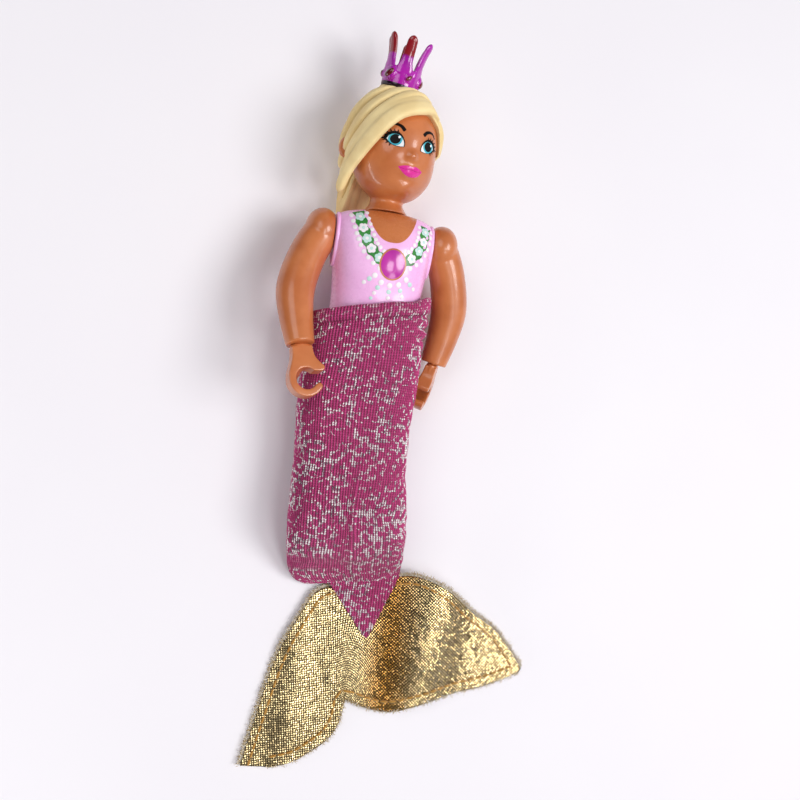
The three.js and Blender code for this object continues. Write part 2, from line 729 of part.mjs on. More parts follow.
const shinForm = () => {
  const foot = cut(
    ellipsoid(new THREE.Vector3(0, SOLE_Y + ANKLE_RISE, 0.2), FOOT_RADII, 14, 8),
    block([-10, 10], [SOLE_Y - 10, SOLE_Y], [-10, 10]),
  );
  return cut(
    joined(
      legSections(shinRows, 7),
      rodX(KNEE_ROUND - 0.4, -KNEE_TONGUE, KNEE_TONGUE, KNEE_Y),
      block([-KNEE_TONGUE, KNEE_TONGUE], [kneeTop - 0.6, KNEE_Y], [0.6 - KNEE_ROUND, KNEE_ROUND - 0.6]),
      foot,
    ),
    kneePinHole,
  );
};

const leg = (side, word) => {
  const made = group(
    `leg_${word}_group`,
    piece(`thigh_${word}`, thighForm(side), SKIN),
    piece(`shin_${word}`, shinForm(), SKIN),
    piece(`knee_pin_${word}`, rodX(KNEE_PIN, 0.2 - KNEE_HALF_WIDTH, KNEE_HALF_WIDTH - 0.2, KNEE_Y), STEEL),
  );
  made.position.set(side * LEG_X, 0, HIP_Z);
  return made;
};

// Tail: a knitted tube on the legs, flat where it lies on the table, slanted at the hem and end seam
const tailAt = through(tailRows);
const slanted = (point, centre) => {
  const atHem = THREE.MathUtils.smoothstep(point.y, HEM_BOTTOM - 14, HEM_BOTTOM) * HEM_SLANT;
  const atEnd = (1 - THREE.MathUtils.smoothstep(point.y, TAIL_END, TAIL_END + 18)) * HEM_SLANT;
  point.y += (point.x - centre) * (atHem + atEnd);
  return point;
};

const tailForm = (from, to, inset, steps) =>
  solid(
    loft(
      stations(from, to, steps).map((y) => {
        const [, x, half, top, under] = tailAt(y);
        const z = Math.min((top + under) / 2, 10);
        const shape = { half: half - inset, front: top - z - inset, back: z - under - inset };
        const ring = oval({ x, y, z, ...shape, power: 2.6, count: 26 });
        ring.forEach((point) => {
          point.z = Math.max(point.z, inset, 0);
          slanted(point, x);
        });
        return ring;
      }),
    ),
  );

const sleeveUpper = cut(
  tailForm(KNEE_Y + GAP / 2, HEM_BOTTOM - GAP, 0, 7),
  tailForm(KNEE_Y - 1, HEM_BOTTOM + 1, CLOTH, 7),
);
const sleeveLower = cut(
  tailForm(TAIL_END, KNEE_Y - GAP / 2, 0, 10),
  tailForm(TAIL_END + END_SEAM, KNEE_Y + 1, CLOTH, 8),
);
const hem = cut(tailForm(HEM_BOTTOM, HEM_TOP, -0.5, 3), tailForm(HEM_BOTTOM - 1, HEM_TOP + 1, CLOTH + 0.3, 3));

// Fin: two plies over one curved middle surface, with the tail's front point lying on them
const inPlan = ([across, down]) =>
  new THREE.Vector3(FIN_ROOT_X + across * FIN_SPAN, TAIL_END - down * FIN_DROP, 0);
const edgeCurves = (edges) => edges.map((points) => new THREE.CatmullRomCurve3(points.map(inPlan)));
const [leadLeft, leadRight] = edgeCurves(leadingEdges);
const [trailLeft, trailRight] = edgeCurves(trailingEdges);

const finHeight = ({ x, y }) => {
  const down = (TAIL_END - y) / FIN_DROP;
  const ridgeX = RIDGE_X + RIDGE_LEAN * down * FIN_DROP;
  const across = (x - ridgeX) / RIDGE_HALF_WIDTH;
  const fade = 1 - THREE.MathUtils.smoothstep(down, 0.3, 0.92) * 0.5;
  const ripple = RIPPLE_HEIGHT * Math.exp(-(((x - RIPPLE_X) / RIPPLE_HALF_WIDTH) ** 2));
  return FIN_MIDDLE + RIDGE_HEIGHT * fade * Math.exp(-across * across) + ripple;
};

const finPoint = (u, v) => {
  const left = u < 0.5;
  const t = left ? 2 * u : 2 * u - 1;
  const lead = (left ? leadLeft : leadRight).getPoint(t);
  const trail = (left ? trailLeft : trailRight).getPoint(t);
  return lead.lerp(trail, v);
};

const finPly = (low, high) => {
  const grid = (offset) =>
    stations(0, 1, 20).map((u) =>
      stations(0, 1, 5).map((v) => {
        const point = finPoint(u, v);
        point.z = finHeight(point) + offset;
        return point;
      }),
    );
  return sheet(grid(high), grid(low));
};

const frontPoint = () => {
  const tip = [-1, 1].map(
    (side) => new THREE.Vector3(FIN_ROOT_X + POINT_SWAY + (side * POINT_TIP_WIDTH) / 2, TAIL_END - POINT_LENGTH, 0),
  );
  const root = [-1, 1].map((side) => {
    const x = FIN_ROOT_X + (side * POINT_WIDTH) / 2;
    return new THREE.Vector3(x, TAIL_END + (x - END_CENTRE_X) * HEM_SLANT - 1.5 * GAP, 0);
  });
  const grid = (offset) =>
    stations(0, 1, 7).map((v) =>
      stations(0, 1, 6).map((u) => {
        const top = root[0].clone().lerp(root[1], u);
        const point = top.lerp(tip[0].clone().lerp(tip[1], u), v);
        const lift = (1 - v) ** 2;
        point.z = finHeight(point) + FIN_MIDDLE + GAP + lift + offset;
        return point;
      }),
    );
  return sheet(grid(CLOTH), grid(0));
};

const tail = group(
  "tail_group",
  piece("tail_hem", hem, KNIT),
  piece("tail_sleeve_upper", sleeveUpper, KNIT),
  piece("tail_sleeve_lower", sleeveLower, KNIT),
  piece("tail_front_point", frontPoint(), KNIT),
  piece("fin_front_ply", finPly(GAP / 2, GAP / 2 + FIN_PLY), GOLD),
  piece("fin_back_ply", finPly(-GAP / 2 - FIN_PLY, -GAP / 2), GOLD),
);

export default group(
  "mermaid_doll",
  torso,
  headGroup,
  arm(-1, "right", RIGHT_ARM_SWING, RIGHT_HAND_TURN),
  arm(1, "left", LEFT_ARM_SWING, LEFT_HAND_TURN),
  leg(-1, "right"),
  leg(1, "left"),
  tail,
);
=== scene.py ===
import json
import math
import random

import bmesh
import bpy
from mathutils import Matrix, Vector, noise
from mathutils.bvhtree import BVHTree


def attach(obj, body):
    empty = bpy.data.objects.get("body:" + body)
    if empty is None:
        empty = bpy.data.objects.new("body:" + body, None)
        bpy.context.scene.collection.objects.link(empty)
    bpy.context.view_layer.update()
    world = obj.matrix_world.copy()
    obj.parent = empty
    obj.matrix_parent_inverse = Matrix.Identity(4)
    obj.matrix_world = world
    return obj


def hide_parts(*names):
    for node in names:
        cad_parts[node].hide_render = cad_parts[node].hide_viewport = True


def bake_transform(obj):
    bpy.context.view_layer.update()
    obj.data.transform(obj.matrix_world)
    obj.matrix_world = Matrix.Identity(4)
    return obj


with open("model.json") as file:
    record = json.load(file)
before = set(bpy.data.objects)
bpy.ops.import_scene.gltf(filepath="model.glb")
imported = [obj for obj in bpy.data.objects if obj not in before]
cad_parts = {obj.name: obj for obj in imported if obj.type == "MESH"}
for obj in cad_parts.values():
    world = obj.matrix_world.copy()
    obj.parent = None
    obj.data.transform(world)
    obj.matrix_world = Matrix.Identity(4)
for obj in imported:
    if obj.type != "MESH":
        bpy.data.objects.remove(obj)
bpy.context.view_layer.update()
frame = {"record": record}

# A jointed doll in a slip-on mermaid tail, lying face up. Lengths are in millimetres until a piece is
# finished. X runs to the doll's left, Y up the body to the head, Z out of the table through the chest.

scene = bpy.context.scene
chance = random.Random(11)
MM = 0.001
TAU = 2 * math.pi

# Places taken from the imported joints
joints = {joint["name"]: joint for joint in frame["record"]["behaviour"]["joints"]}


def pivot(name):
    return Vector(joints[name]["pos_m"]) / MM


NECK = pivot("neck_turn")
KNEE = pivot("knee_left")
END_SEAM = pivot("fin_flex")
SHOULDERS = {"right": pivot("shoulder_right"), "left": pivot("shoulder_left")}

# Pose of the photographed doll
HEAD_TURN = math.radians(14)
ARM_SWING = {"right": math.radians(13), "left": math.radians(-15)}
HAND_TURN = {"right": math.radians(8), "left": math.radians(66)}
SIDE = {"right": -1, "left": 1}

# Torso, and the rolled edge of the top round each arm
TORSO_POWER = 2.3
ARMHOLE_RADIUS = 5.1
ARMHOLE_X = 11.3
TORSO_WALL = 1.0
TORSO_SEAM = 0.1
LIP_X = 10.85
LIP_TOP = 26.95
LIP_BOTTOM = 15.8
LIP_RADIUS = 0.5
# Sections from waist to collar: height, centre depth, half width, front depth, back depth
torso_rows = [
    (5.1, 12.0, 10.3, 7.0, 6.6),
    (10.0, 12.4, 10.3, 7.2, 6.6),
    (15.0, 12.9, 10.8, 8.0, 7.0),
    (20.0, 13.0, 11.4, 8.6, 7.3),
    (23.5, 13.0, 11.9, 7.9, 7.2),
    (26.4, 13.0, 11.5, 6.6, 6.4),
    (27.8, 13.0, 9.8, 5.6, 5.4),
    (28.5, 13.0, 6.4, 4.6, 4.6),
    (28.65, 13.0, 3.2, 3.0, 3.0),
]

# Neckline and its printed garland, in plan on the chest
SCOOP_X = 0.6
SCOOP_Y = 21.0
SCOOP_RISE = 6.7
SCOOP_HALF_WIDTH = 5.9
SCOOP_POWER = 2.6
SCOOP_SOFT = 0.08
garland_line = [(-7.0, 27.5), (-5.6, 22.8), (-3.6, 18.9), (0.4, 16.4), (5.2, 18.0), (7.9, 21.8),
                (8.7, 26.2)]
GARLAND_WIDTH = 2.7
LEAVES = 12
BLOSSOM_SPACING = 2.5
PETAL_RADIUS = 0.5
PETALS = 5
BEAD_SPACING = 1.35
BEAD_GAP = 0.35
BEAD_RADII = {-1: 0.5, 1: 0.44}
PENDANT = (1.3, 16.4)
PENDANT_HALF = (2.7, 3.1)
PENDANT_RIM = 0.35
PENDANT_DOME = 0.2
DROP_START = 1.5
DROP_ANGLES = (-52, -26, 0, 26, 52)
DROP_RADIUS = 0.6
DROP_TAPER = 0.07

# Head, as an ovoid that is pushed out at each feature
HEAD_CENTRE = Vector((0, 15.5, 1.5))
HEAD_RADII = Vector((10.0, 11.9, 10.6))
JAW_TAPER = 0.05
JAW_FULL = 0.09
CHIN_DROP = 1.2
TOP_TUCK = Vector((0.9, 1.3, 0.4))
SIDE_TUCK = 0.6
HEAD_VOXEL = 0.24
# Features: place across and up, spread across and up, push
face_bumps = [
    (-0.3, -4.7, 1.05, 0.95, 0.95),
    (-0.3, -2.4, 0.9, 2.0, 0.05),
    (-1.1, -5.1, 0.55, 0.5, 0.3),
    (0.5, -5.1, 0.55, 0.5, 0.3),
    (0.1, -7.7, 2.6, 1.3, 0.5),
    (-0.8, -7.0, 1.1, 0.42, 0.35),
    (1.0, -7.0, 1.1, 0.42, 0.35),
    (0.15, -8.2, 1.7, 0.5, 0.42),
    (0.2, -9.4, 2.0, 0.5, -0.3),
    (0.2, -11.6, 2.6, 1.8, 1.3),
    (-5.4, -5.6, 2.8, 2.8, 0.4),
    (5.2, -5.6, 2.8, 2.8, 0.4),
    (-4.4, -1.85, 1.9, 1.4, -0.2),
    (3.0, -2.1, 1.9, 1.4, -0.2),
]
EAR_CENTRES = (Vector((-10.9, -2.6, -2.2)), Vector((9.3, -2.6, -3.2)))
EAR_RADII = Vector((1.8, 2.5, 1.4))
NECK_LENGTH = 9.0
NECK_BASE = 3.9
NECK_TOP = 3.5
NECK_FLARE = 5.2
NECK_FLARE_LENGTH = 1.9
NECK_LAP = 0.2

# Printed face: each eye from its own centre, with the first number running away from the nose
EYE_MIDDLE = Vector((-0.62, -1.78))
EYE_SPREAD = 3.88
EYE_ROLL = math.radians(-0.6)
upper_lid = [(-1.92, -1.4), (-1.88, -0.5), (-1.3, 0.6), (-0.4, 1.25), (0.5, 1.33), (1.4, 0.95),
             (1.95, 0.05)]
lower_lid = [(-1.92, -1.4), (-1.0, -1.5), (0.1, -1.36), (1.1, -0.85), (1.95, 0.05)]
IRIS_RADIUS = 1.38
PUPIL_RADIUS = 1.02
GLINT_RADIUS = 0.26
GLINT_PLACE = Vector((0.75, 0.5))
UPPER_LASHES = 6
LOWER_LASHES = 3
LASH_TIP = 0.05
brow_line = [(-1.65, 1.93), (-0.85, 2.8), (0.2, 3.18), (1.05, 3.05), (1.75, 2.3)]
MOUTH = Vector((0.1, -7.5))
MOUTH_ROLL = math.radians(1)
upper_lip = [(-2.95, 0.42), (-2.0, 0.7), (-0.7, 0.78), (0, 0.66), (0.9, 0.84), (2.0, 0.66), (3.05, 0.3)]
lower_lip = [(-2.95, 0.42), (-2.1, -0.3), (-1.3, -0.86), (-0.2, -1.2), (0.9, -1.2), (2.2, -0.8),
             (3.05, 0.3)]
mouth_line = [(-2.85, 0.4), (-1.4, 0.05), (0, 0.05), (1.4, 0.0), (2.9, 0.28)]
PRINT_LIFT = 0.03

# Hair, with swept locks given by points about the head's centre
HAIR_RADII = Vector((11.2, 13.1, 12.0))
HAIR_SHIFT = Vector((0, 0.2, -0.3))
HAIR_CAP_DROP = -6.3
HAIR_VOXEL = 0.22
hairline = [(9.4, -2.6), (7.9, 0.8), (6.2, 3.4), (3.6, 5.0), (0.2, 4.9), (-5.0, 2.4), (-8.4, -2.6),
            (-9.6, -7.0)]
swept_locks = [
    [(5.6, 5.0, 8.6), (3.1, 6.0, 9.6), (-0.5, 5.3, 10.5), (-4.1, 3.8, 10.2), (-6.7, 1.4, 9.1),
     (-8.5, -1.3, 7.3), (-9.9, -4.4, 4.5), (-11.0, -8.0, 1.0), (-11.8, -12.6, -1.4)],
    [(4.6, 7.2, 8.2), (0.8, 7.4, 9.4), (-3.0, 6.0, 9.8), (-6.0, 4.3, 8.9), (-8.1, 2.1, 7.5),
     (-9.6, -0.4, 5.8), (-10.6, -3.0, 3.1), (-11.1, -6.2, 0.0), (-11.0, -9.6, -2.6)],
    [(4.4, 8.4, 7.4), (-0.3, 8.7, 8.7), (-3.8, 7.2, 8.9), (-6.4, 5.2, 8.2), (-8.5, 3.0, 7.0),
     (-9.8, 0.8, 5.3), (-10.8, -1.9, 2.6), (-11.2, -5.2, -1.0)],
    [(3.8, 10.0, 6.2), (-0.3, 10.2, 7.2), (-4.0, 9.0, 7.2), (-6.9, 7.2, 6.4), (-9.0, 5.1, 5.0),
     (-10.4, 2.6, 3.3), (-11.1, 0.1, 1.0), (-11.3, -3.4, -2.2), (-11.0, -7.0, -4.2)],
    [(2.6, 11.8, 4.4), (-1.2, 11.6, 5.2), (-5.0, 10.4, 4.9), (-7.8, 8.7, 3.3), (-9.6, 6.6, 1.2),
     (-10.7, 4.2, -0.8), (-11.1, 1.2, -3.0), (-11.0, -3.0, -5.0)],
    [(4.4, 6.2, 8.9), (6.6, 5.0, 8.0), (8.4, 2.8, 6.6), (9.3, 0.5, 5.1), (9.6, -1.6, 3.8)],
    [(4.0, 8.6, 7.2), (7.2, 7.2, 6.0), (9.6, 4.0, 3.8), (10.5, 1.2, 1.8), (10.6, -1.2, 0.4)],
]
lock_widths = [1.6, 1.15, 1.05, 1.25, 1.4, 1.5, 1.6]
lock_lifts = [0.55, 0.15, 0.1, 0.0, 0.0, 0.2, 0.0]
HAIR_BACK_SPAN = math.radians(42)
FALL_STRANDS = 6
FALL_OUTSIDE = 0.7
FALL_GROOVE = 0.55
BACK_GROOVES = 9
BACK_GROOVE = 0.3
GROOVE_REACH = 0.22
# Rows of the fall about the neck axis: height, inner radius, outer radius, share of the span
fall_rows = [
    (-12.4, 11.6, 12.3, 0.6),
    (-11.0, 11.1, 12.9, 0.84),
    (-4.0, 11.0, 13.0, 0.9),
    (1.0, 10.6, 13.0, 1.0),
    (9.0, 8.6, 12.9, 0.9),
    (16.0, 7.6, 11.9, 0.7),
    (21.0, 6.4, 9.8, 0.45),
]

HEAD_PLACE = Matrix.Translation(NECK) @ Matrix.Rotation(HEAD_TURN, 4, "Y")
FACE_PLACE = HEAD_PLACE @ Matrix.Translation(HEAD_CENTRE)

# Crown, about its own foot
CROWN_SEAT = (Matrix.Translation((0, 27.9, 0.8)) @ Matrix.Rotation(math.radians(15), 4, "X")
              @ Matrix.Rotation(math.radians(-5), 4, "Z"))
CROWN_GAP = 0.3
SEAT_ON_HEAD = Matrix.Translation(-HEAD_CENTRE) @ CROWN_SEAT
SEAT_FROM_HEAD = SEAT_ON_HEAD.inverted()
SEAT_RADIUS = 4.6
SEAT_EDGE = 1.4
SEAT_REACH = 5.0
SEAT_FALL = 0.62
SEAT_DEPTH = 4.5
HAIR_LEVEL = 0.18
SKULL_LEVEL = -1.4
CROWN_RADIUS = 4.0
CROWN_SHIFT = -0.6
CROWN_WALL = 0.9
CROWN_FLOOR = 0.9
CROWN_LEAN = 0.25
CROWN_BAND = 4.4
CROWN_HEIGHT = 11.2
CROWN_PRONGS = 6
CROWN_TURN = math.radians(-20)
BOSS_TURN = math.radians(20)
CROWN_FLARE = 1.4
CROWN_STUD = 1.5
CROWN_STUD_LENGTH = 2.8
CROWN_VOXEL = 0.13
CROWN_RIM_SHADE_HEIGHT = 0.8
CROWN_TIP = 4.3
TIP_SOFT = 0.35
RED_SIDE_X = 2.4
RED_SIDE_SOFT = 0.6
CROWN_BOSS = Vector((1.35, 1.6, 0.8))
CROWN_BOSS_Y = 2.6
SMALL_BOSS = 0.62
CROWN_GEM = Vector((1.3, 0.7, 0.5))
GEM_SLANT = math.radians(42)
GEM_LIFT = 0.62

# Arm centre line from the shoulder, with the radius at each point
arm_line = [
    (1.6, 0.4, 0, 4.2),
    (4.8, -5.4, -0.2, 4.2),
    (7.2, -14.4, -0.5, 4.3),
    (6.7, -21.0, 0, 3.8),
    (5.4, -27.6, 0.7, 3.15),
]
SHOULDER_BALL = Vector((3.9, 4.8, 4.8))
SHOULDER_BALL_X = 2.4
WRIST_LEAN = math.radians(12)
ARM_VOXEL = 0.24

# Hand in its own plane, with the grip ring below the wrist
HAND_DEPTH = 5.0
HAND_VOXEL = 0.16
HAND_NARROW = 0.7
GRIP_Y = -7.9
GRIP_DRAFT = 1.0
GRIP_INNER = 2.4
GRIP_OUTER = 3.9
FINGERTIP = 1.8 * math.pi
WRIST_PIN = 1.5
WRIST_COLLAR = 2.4
WRIST_PIN_LENGTH = 3.6

# Tail
TAIL_POWER = 2.6
TAIL_END = END_SEAM.y
KNIT_END = TAIL_END - 0.4
HEM_BOTTOM = 4.0
HEM_SLANT = 0.2
HEM_ROLL_SHADE_HEIGHT = 4.4
END_SLANT = 0.1
END_CENTRE_X = 3.2
UPPER_END = -13.0
# Sections from the end seam to the waist: height, centre, half width, top, underside
tail_rows = [
    (-58.4, 3.2, 11.0, 2.4, 0.0),
    (-57.4, 2.7, 12.6, 3.6, -0.2),
    (-55, 1.6, 13.5, 6.6, -0.6),
    (-50, 0.4, 13.8, 13.4, -0.8),
    (-44, -0.4, 13.8, 18.4, -0.8),
    (-36, -0.9, 13.4, 18.0, -0.8),
    (-26, -1.2, 13.0, 17.8, -0.8),
    (-15, -1.5, 13.4, 18.8, -0.8),
    (-5, -1.1, 13.5, 20.2, -0.8),
    (3, -0.9, 13.3, 20.8, -0.4),
    (8, -0.8, 13.1, 20.8, 1.8),
]
# The rolled hem from its inner edge over the top and down the outside: height, distance out of the tube
hem_roll = [(3.2, -0.9), (5.4, -0.9), (6.9, -0.6), (7.5, 0.0), (7.3, 0.5), (6.6, 0.72), (5.3, 0.62),
            (4.5, 0.45), (4.1, -0.1), (3.5, 0.0)]
HEM_SHARE = 0.36
WALES = 118
WALE_PITCH = 0.67
RIB_DEPTH = 0.14
KNIT_TWIST = 0.16
COURSE = 0.55
FLAKE_TURN = 0.8
# Heights on the knit: where the foil wears thin, the fold at the ankle left bare as painted shade in the
# crease, and the barer hem
WORN_HEIGHTS = (-46.0, 2.0)
FOLD_SHADE_BOTTOM = (-54.4, -53.4)
FOLD_SHADE_TOP = (-51.0, -50.0)
HEM_BARE = (4.6, 5.4)
# The crease over the ankle: depth, lean, height, spread
ANKLE_CREASE = (0.9, 0.12, -52.6, 1.5)
# Creases on the doll's left: depth, lean, height, spread, where across they begin and end
side_creases = [(0.6, 0.5, -36, 1.6, -2, 6), (0.45, 0.35, -27, 1.4, 0, 8)]
# Gathers under the hem at the doll's left: push, height, spread
hem_gathers = [(-0.7, 3.6, 0.6), (-0.56, 1.3, 0.7), (-0.35, -1.6, 0.8), (0.35, 5.0, 0.8),
               (0.35, 2.4, 0.7)]

# Fin, with a ridge and a valley in the lobe at the doll's left; the valley has painted amber shade
FIN_SPAN = 70.4
FIN_DROP = 45.7
FIN_MIDDLE = 0.6
FIN_PLY = 0.3
GOLD_LIFT = 0.45
LINING_LIFT = -0.1
FIN_LINING_SHOW = 0.7
WEAVE_PITCH = 0.56
FLOAT_TURN = 0.3
WEAVE_PIVOT = Vector((7, -70))
RIDGE_X = 25.5
RIDGE_LEAN = -0.1
RIDGE_HEIGHT = 4.8
RIDGE_HALF_WIDTH = 8.0
RIDGE_SLOPE = 9.0
VALLEY_SHADE_X = 14.5
VALLEY_SHADE_HALF_WIDTH = 8.0
VALLEY_SHADE_SHARE = 0.75
# Outline seen from above, from the middle of the end seam: across in parts of the span, down in parts
# of the drop
leading_left = [(-0.348, 1), (-0.314, 0.759), (-0.254, 0.389), (-0.19, 0.175), (-0.142, 0.059),
                (0, -0.007)]
leading_right = [(0, -0.007), (0.116, -0.039), (0.196, -0.059), (0.274, -0.031), (0.342, 0.026),
                 (0.435, 0.136), (0.538, 0.243), (0.652, 0.446)]
trailing_left = [(-0.24, 1.01), (-0.148, 0.969), (-0.087, 0.911), (-0.039, 0.849), (-0.01, 0.76),
                 (0, 0.65)]
trailing_right = [(0, 0.65), (0.08, 0.689), (0.153, 0.697), (0.25, 0.65), (0.344, 0.615),
                  (0.507, 0.561), (0.634, 0.487)]
# The knit point over the fin, the topstitch and the loose threads
POINT_WIDTH = 17.2
POINT_CENTRE_X = 6.4
POINT_LENGTH = 14.8
POINT_SWAY = 2.4
POINT_LAP = 3.0
POINT_CLOTH = 0.35
POINT_WALES = 27
STITCH_INSET = 2.5
STITCH_LENGTH = 1.7
STITCH_GAP = 0.25
STITCH_RADIUS = 0.3
FRAY_RADIUS = 0.06
THREAD_LOW = 0.08

# Camera place and the directions it sees, then the table and the room's light
CAMERA_PLACE = Vector((-37.47, -13.13, 195.94))
CAMERA_RIGHT = Vector((0.965, 0.1045, 0.2406))
CAMERA_UP = Vector((-0.1014, 0.9945, -0.0253))
CAMERA_AHEAD = Vector((0.2419, 0, -0.9703))
CAMERA_FOCUS_PX = 813
FRAME_PX = 800
SENSOR = 36.0
TABLE_HALF = 1500
ROOM_BRIGHT_SIDE = (1.0, -0.15, 0.0)
ROOM_DIM = 0.1
ROOM_BRIGHT = 0.42


# Shape helpers

def ease(value, low, high):
    """0 at low, 1 at high and smooth between."""
    t = min(max((value - low) / (high - low), 0.0), 1.0)
    return t * t * (3 - 2 * t)


def hump(value, middle, spread):
    return math.exp(-(((value - middle) / spread) ** 2))


def rounded(value, power):
    return math.copysign(abs(value) ** (2 / power), value)


def through(rows):
    """Smooth values between the rows of a table whose first column rises."""

    def slope(k, column):
        before = rows[max(k - 1, 0)]
        after = rows[min(k + 1, len(rows) - 1)]
        return (after[column] - before[column]) / (after[0] - before[0])

    def at(station):
        k = 0
        while k < len(rows) - 2 and rows[k + 1][0] <= station:
            k += 1
        span = rows[k + 1][0] - rows[k][0]
        t = (station - rows[k][0]) / span
        rise = t * t * (3 - 2 * t)
        values = []
        for column, start in enumerate(rows[k]):
            run = t * (1 - t) * ((1 - t) * slope(k, column) - t * slope(k + 1, column)) * span
            values.append(start + rise * (rows[k + 1][column] - start) + run)
        return values

    return at


def curve(points):
    """A smooth line through points, as a function of 0 to 1."""
    knots = [Vector(point) for point in points]
    knots = [knots[0] * 2 - knots[1], *knots, knots[-1] * 2 - knots[-2]]

    def at(t):
        place = min(max(t, 0.0), 1.0) * (len(knots) - 3)
        k = min(int(place), len(knots) - 4)
        s = place - k
        a, b, c, d = knots[k:k + 4]
        ab, bc, cd = ((q - p).length ** 0.5 for p, q in ((a, b), (b, c), (c, d)))
        leave = ((b - a) / ab - (c - a) / (ab + bc) + (c - b) / bc) * bc
        arrive = ((c - b) / bc - (d - b) / (bc + cd) + (d - c) / cd) * bc
        rise = s * s * (3 - 2 * s)
        return b.lerp(c, rise) + leave * (s * (1 - s) ** 2) - arrive * (s * s * (1 - s))

    return at


def add_grid(bm, columns, rows, point, wrap=False, mapped=None):
    """Quads in bm laid out by point(u, v); mapped(u, v) gives their texture place."""
    made = bmesh.ops.create_grid(bm, x_segments=columns, y_segments=rows, size=0.5)["verts"]
    layer = bm.loops.layers.uv.get("UVMap") or bm.loops.layers.uv.new("UVMap")
    low = min(vert.co.x for vert in made)
    high = max(vert.co.x for vert in made)
    places = {}
    for vert in made:
        places[vert] = ((vert.co.x - low) / (high - low), (vert.co.y - low) / (high - low))
    for face in {face for vert in made for face in vert.link_faces}:
        for loop in face.loops:
            u, v = places[loop.vert]
            loop[layer].uv = mapped(u, v) if mapped else (u, v)
    for vert, (u, v) in places.items():
        vert.co = point(u, v)
    if wrap:
        bmesh.ops.remove_doubles(bm, verts=made, dist=1e-5)


def add_ball(bm, centre, radii, across=48, up=32):
    turned = Matrix.Rotation(math.pi / 2, 4, "X")
    made = bmesh.ops.create_uvsphere(bm, u_segments=across, v_segments=up, radius=1, matrix=turned)
    verts = made["verts"]
    bmesh.ops.scale(bm, vec=radii, verts=verts)
    bmesh.ops.translate(bm, vec=centre, verts=verts)
    return verts


def add_rod(bm, start, end, radius_start, radius_end, sides=32):
    along = end - start
    place = Matrix.Translation((start + end) / 2) @ along.to_track_quat("Z", "Y").to_matrix().to_4x4()
    bmesh.ops.create_cone(bm, cap_ends=True, segments=sides, radius1=radius_start, radius2=radius_end,
                          depth=along.length, matrix=place)


def add_sweep(bm, line, section, sides, steps, power=2.0):
    """A tube along line(t); section(t, centre) gives half width, half thickness and its outward side."""

    def point(u, v):
        centre = line(v)
        along = (line(min(v + 0.01, 1)) - line(max(v - 0.01, 0))).normalized()
        half, thick, outward = section(v, centre)
        out = (outward - along * outward.dot(along)).normalized()
        across = along.cross(out)
        wide = half * rounded(math.cos(TAU * u), power)
        return centre + across * wide + out * (thick * rounded(math.sin(TAU * u), power))

    add_grid(bm, sides, steps, point, wrap=True)


def close_ends(bm):
    bmesh.ops.holes_fill(bm, edges=[edge for edge in bm.edges if edge.is_boundary], sides=0)
    bmesh.ops.recalc_face_normals(bm, faces=bm.faces)


def face_away(bm, centre):
    """Turns an open shell's faces away from centre."""
    bmesh.ops.recalc_face_normals(bm, faces=bm.faces)
    lean = sum(face.normal.dot(face.calc_center_median() - centre) * face.calc_area() for face in bm.faces)
    if lean < 0:
        bmesh.ops.reverse_faces(bm, faces=bm.faces)


def carried(bm, *modifiers):
    """bm after modifiers, each given as a kind and its settings."""
    mesh = bpy.data.meshes.new("carried")
    bm.to_mesh(mesh)
    bm.free()
    made = bpy.data.objects.new("carried", mesh)
    scene.collection.objects.link(made)
    for kind, settings in modifiers:
        modifier = made.modifiers.new(kind, kind)
        for name, value in settings.items():
            setattr(modifier, name, value)
    done = bmesh.new()
    done.from_object(made, bpy.context.evaluated_depsgraph_get())
    bpy.data.objects.remove(made)
    bpy.data.meshes.remove(mesh)
    return done


def soften(bm, rounds):
    every_axis = {"use_axis_x": True, "use_axis_y": True, "use_axis_z": True}
    for _ in range(rounds):
        bmesh.ops.smooth_vert(bm, verts=bm.verts, factor=0.5, **every_axis)


def fused(bm, voxel, rounds):
    """One skin over everything in bm, with its creases softened."""
    done = carried(bm, ("REMESH", {"mode": "VOXEL", "voxel_size": voxel}))
    soften(done, rounds)
    return done


def cut_flat(bm, place, normal, **sides):
    """Cuts bm along a plane and closes the cut."""
    whole = bm.verts[:] + bm.edges[:] + bm.faces[:]
    cut = bmesh.ops.bisect_plane(bm, geom=whole, plane_co=place, plane_no=normal, **sides)["geom_cut"]
    bmesh.ops.holes_fill(bm, edges=[part for part in cut if isinstance(part, bmesh.types.BMEdge)], sides=0)
    bmesh.ops.recalc_face_normals(bm, faces=bm.faces)


def add_slab(bm, outline, bottom, thickness):
    """A flat outline made solid upwards from bottom."""
    face = bm.faces.new([bm.verts.new((place.x, place.y, bottom)) for place in outline])
    walls = bmesh.ops.extrude_face_region(bm, geom=[face])["geom"]
    raised = [part for part in walls if isinstance(part, bmesh.types.BMVert)]
    bmesh.ops.translate(bm, vec=(0, 0, thickness), verts=raised)
    bmesh.ops.recalc_face_normals(bm, faces=bm.faces)


def mark_groove_shade(bm, reach):
    """Stores how deep each place lies between its neighbours, from 0 to 1 at reach, as the share of painted
    shade in the hair's grooves.
    """
    layer = bm.verts.layers.float.new("groove_shade")
    bm.normal_update()
    spread = {vert: vert.co.copy() for vert in bm.verts}
    for _ in range(12):
        wider = {}
        for vert in bm.verts:
            near = [spread[edge.other_vert(vert)] for edge in vert.link_edges]
            wider[vert] = sum(near, Vector()) / max(len(near), 1)
        spread = wider
    for vert in bm.verts:
        vert[layer] = min(max((spread[vert] - vert.co).dot(vert.normal) / reach, 0.0), 1.0)


def finished(name, bm, material, place=None):
    """The named piece: bm in millimetres, put at place and brought to metres."""
    bm.transform(Matrix.Scale(MM, 4) @ (place or Matrix.Identity(4)))
    mesh = bpy.data.meshes.new(name)
    bm.to_mesh(mesh)
    bm.free()
    mesh.shade_smooth()
    mesh.materials.append(material)
    made = bpy.data.objects.new(name, mesh)
    scene.collection.objects.link(made)
    return made


# Printed shapes, laid on a surface by on(x, y, lift)

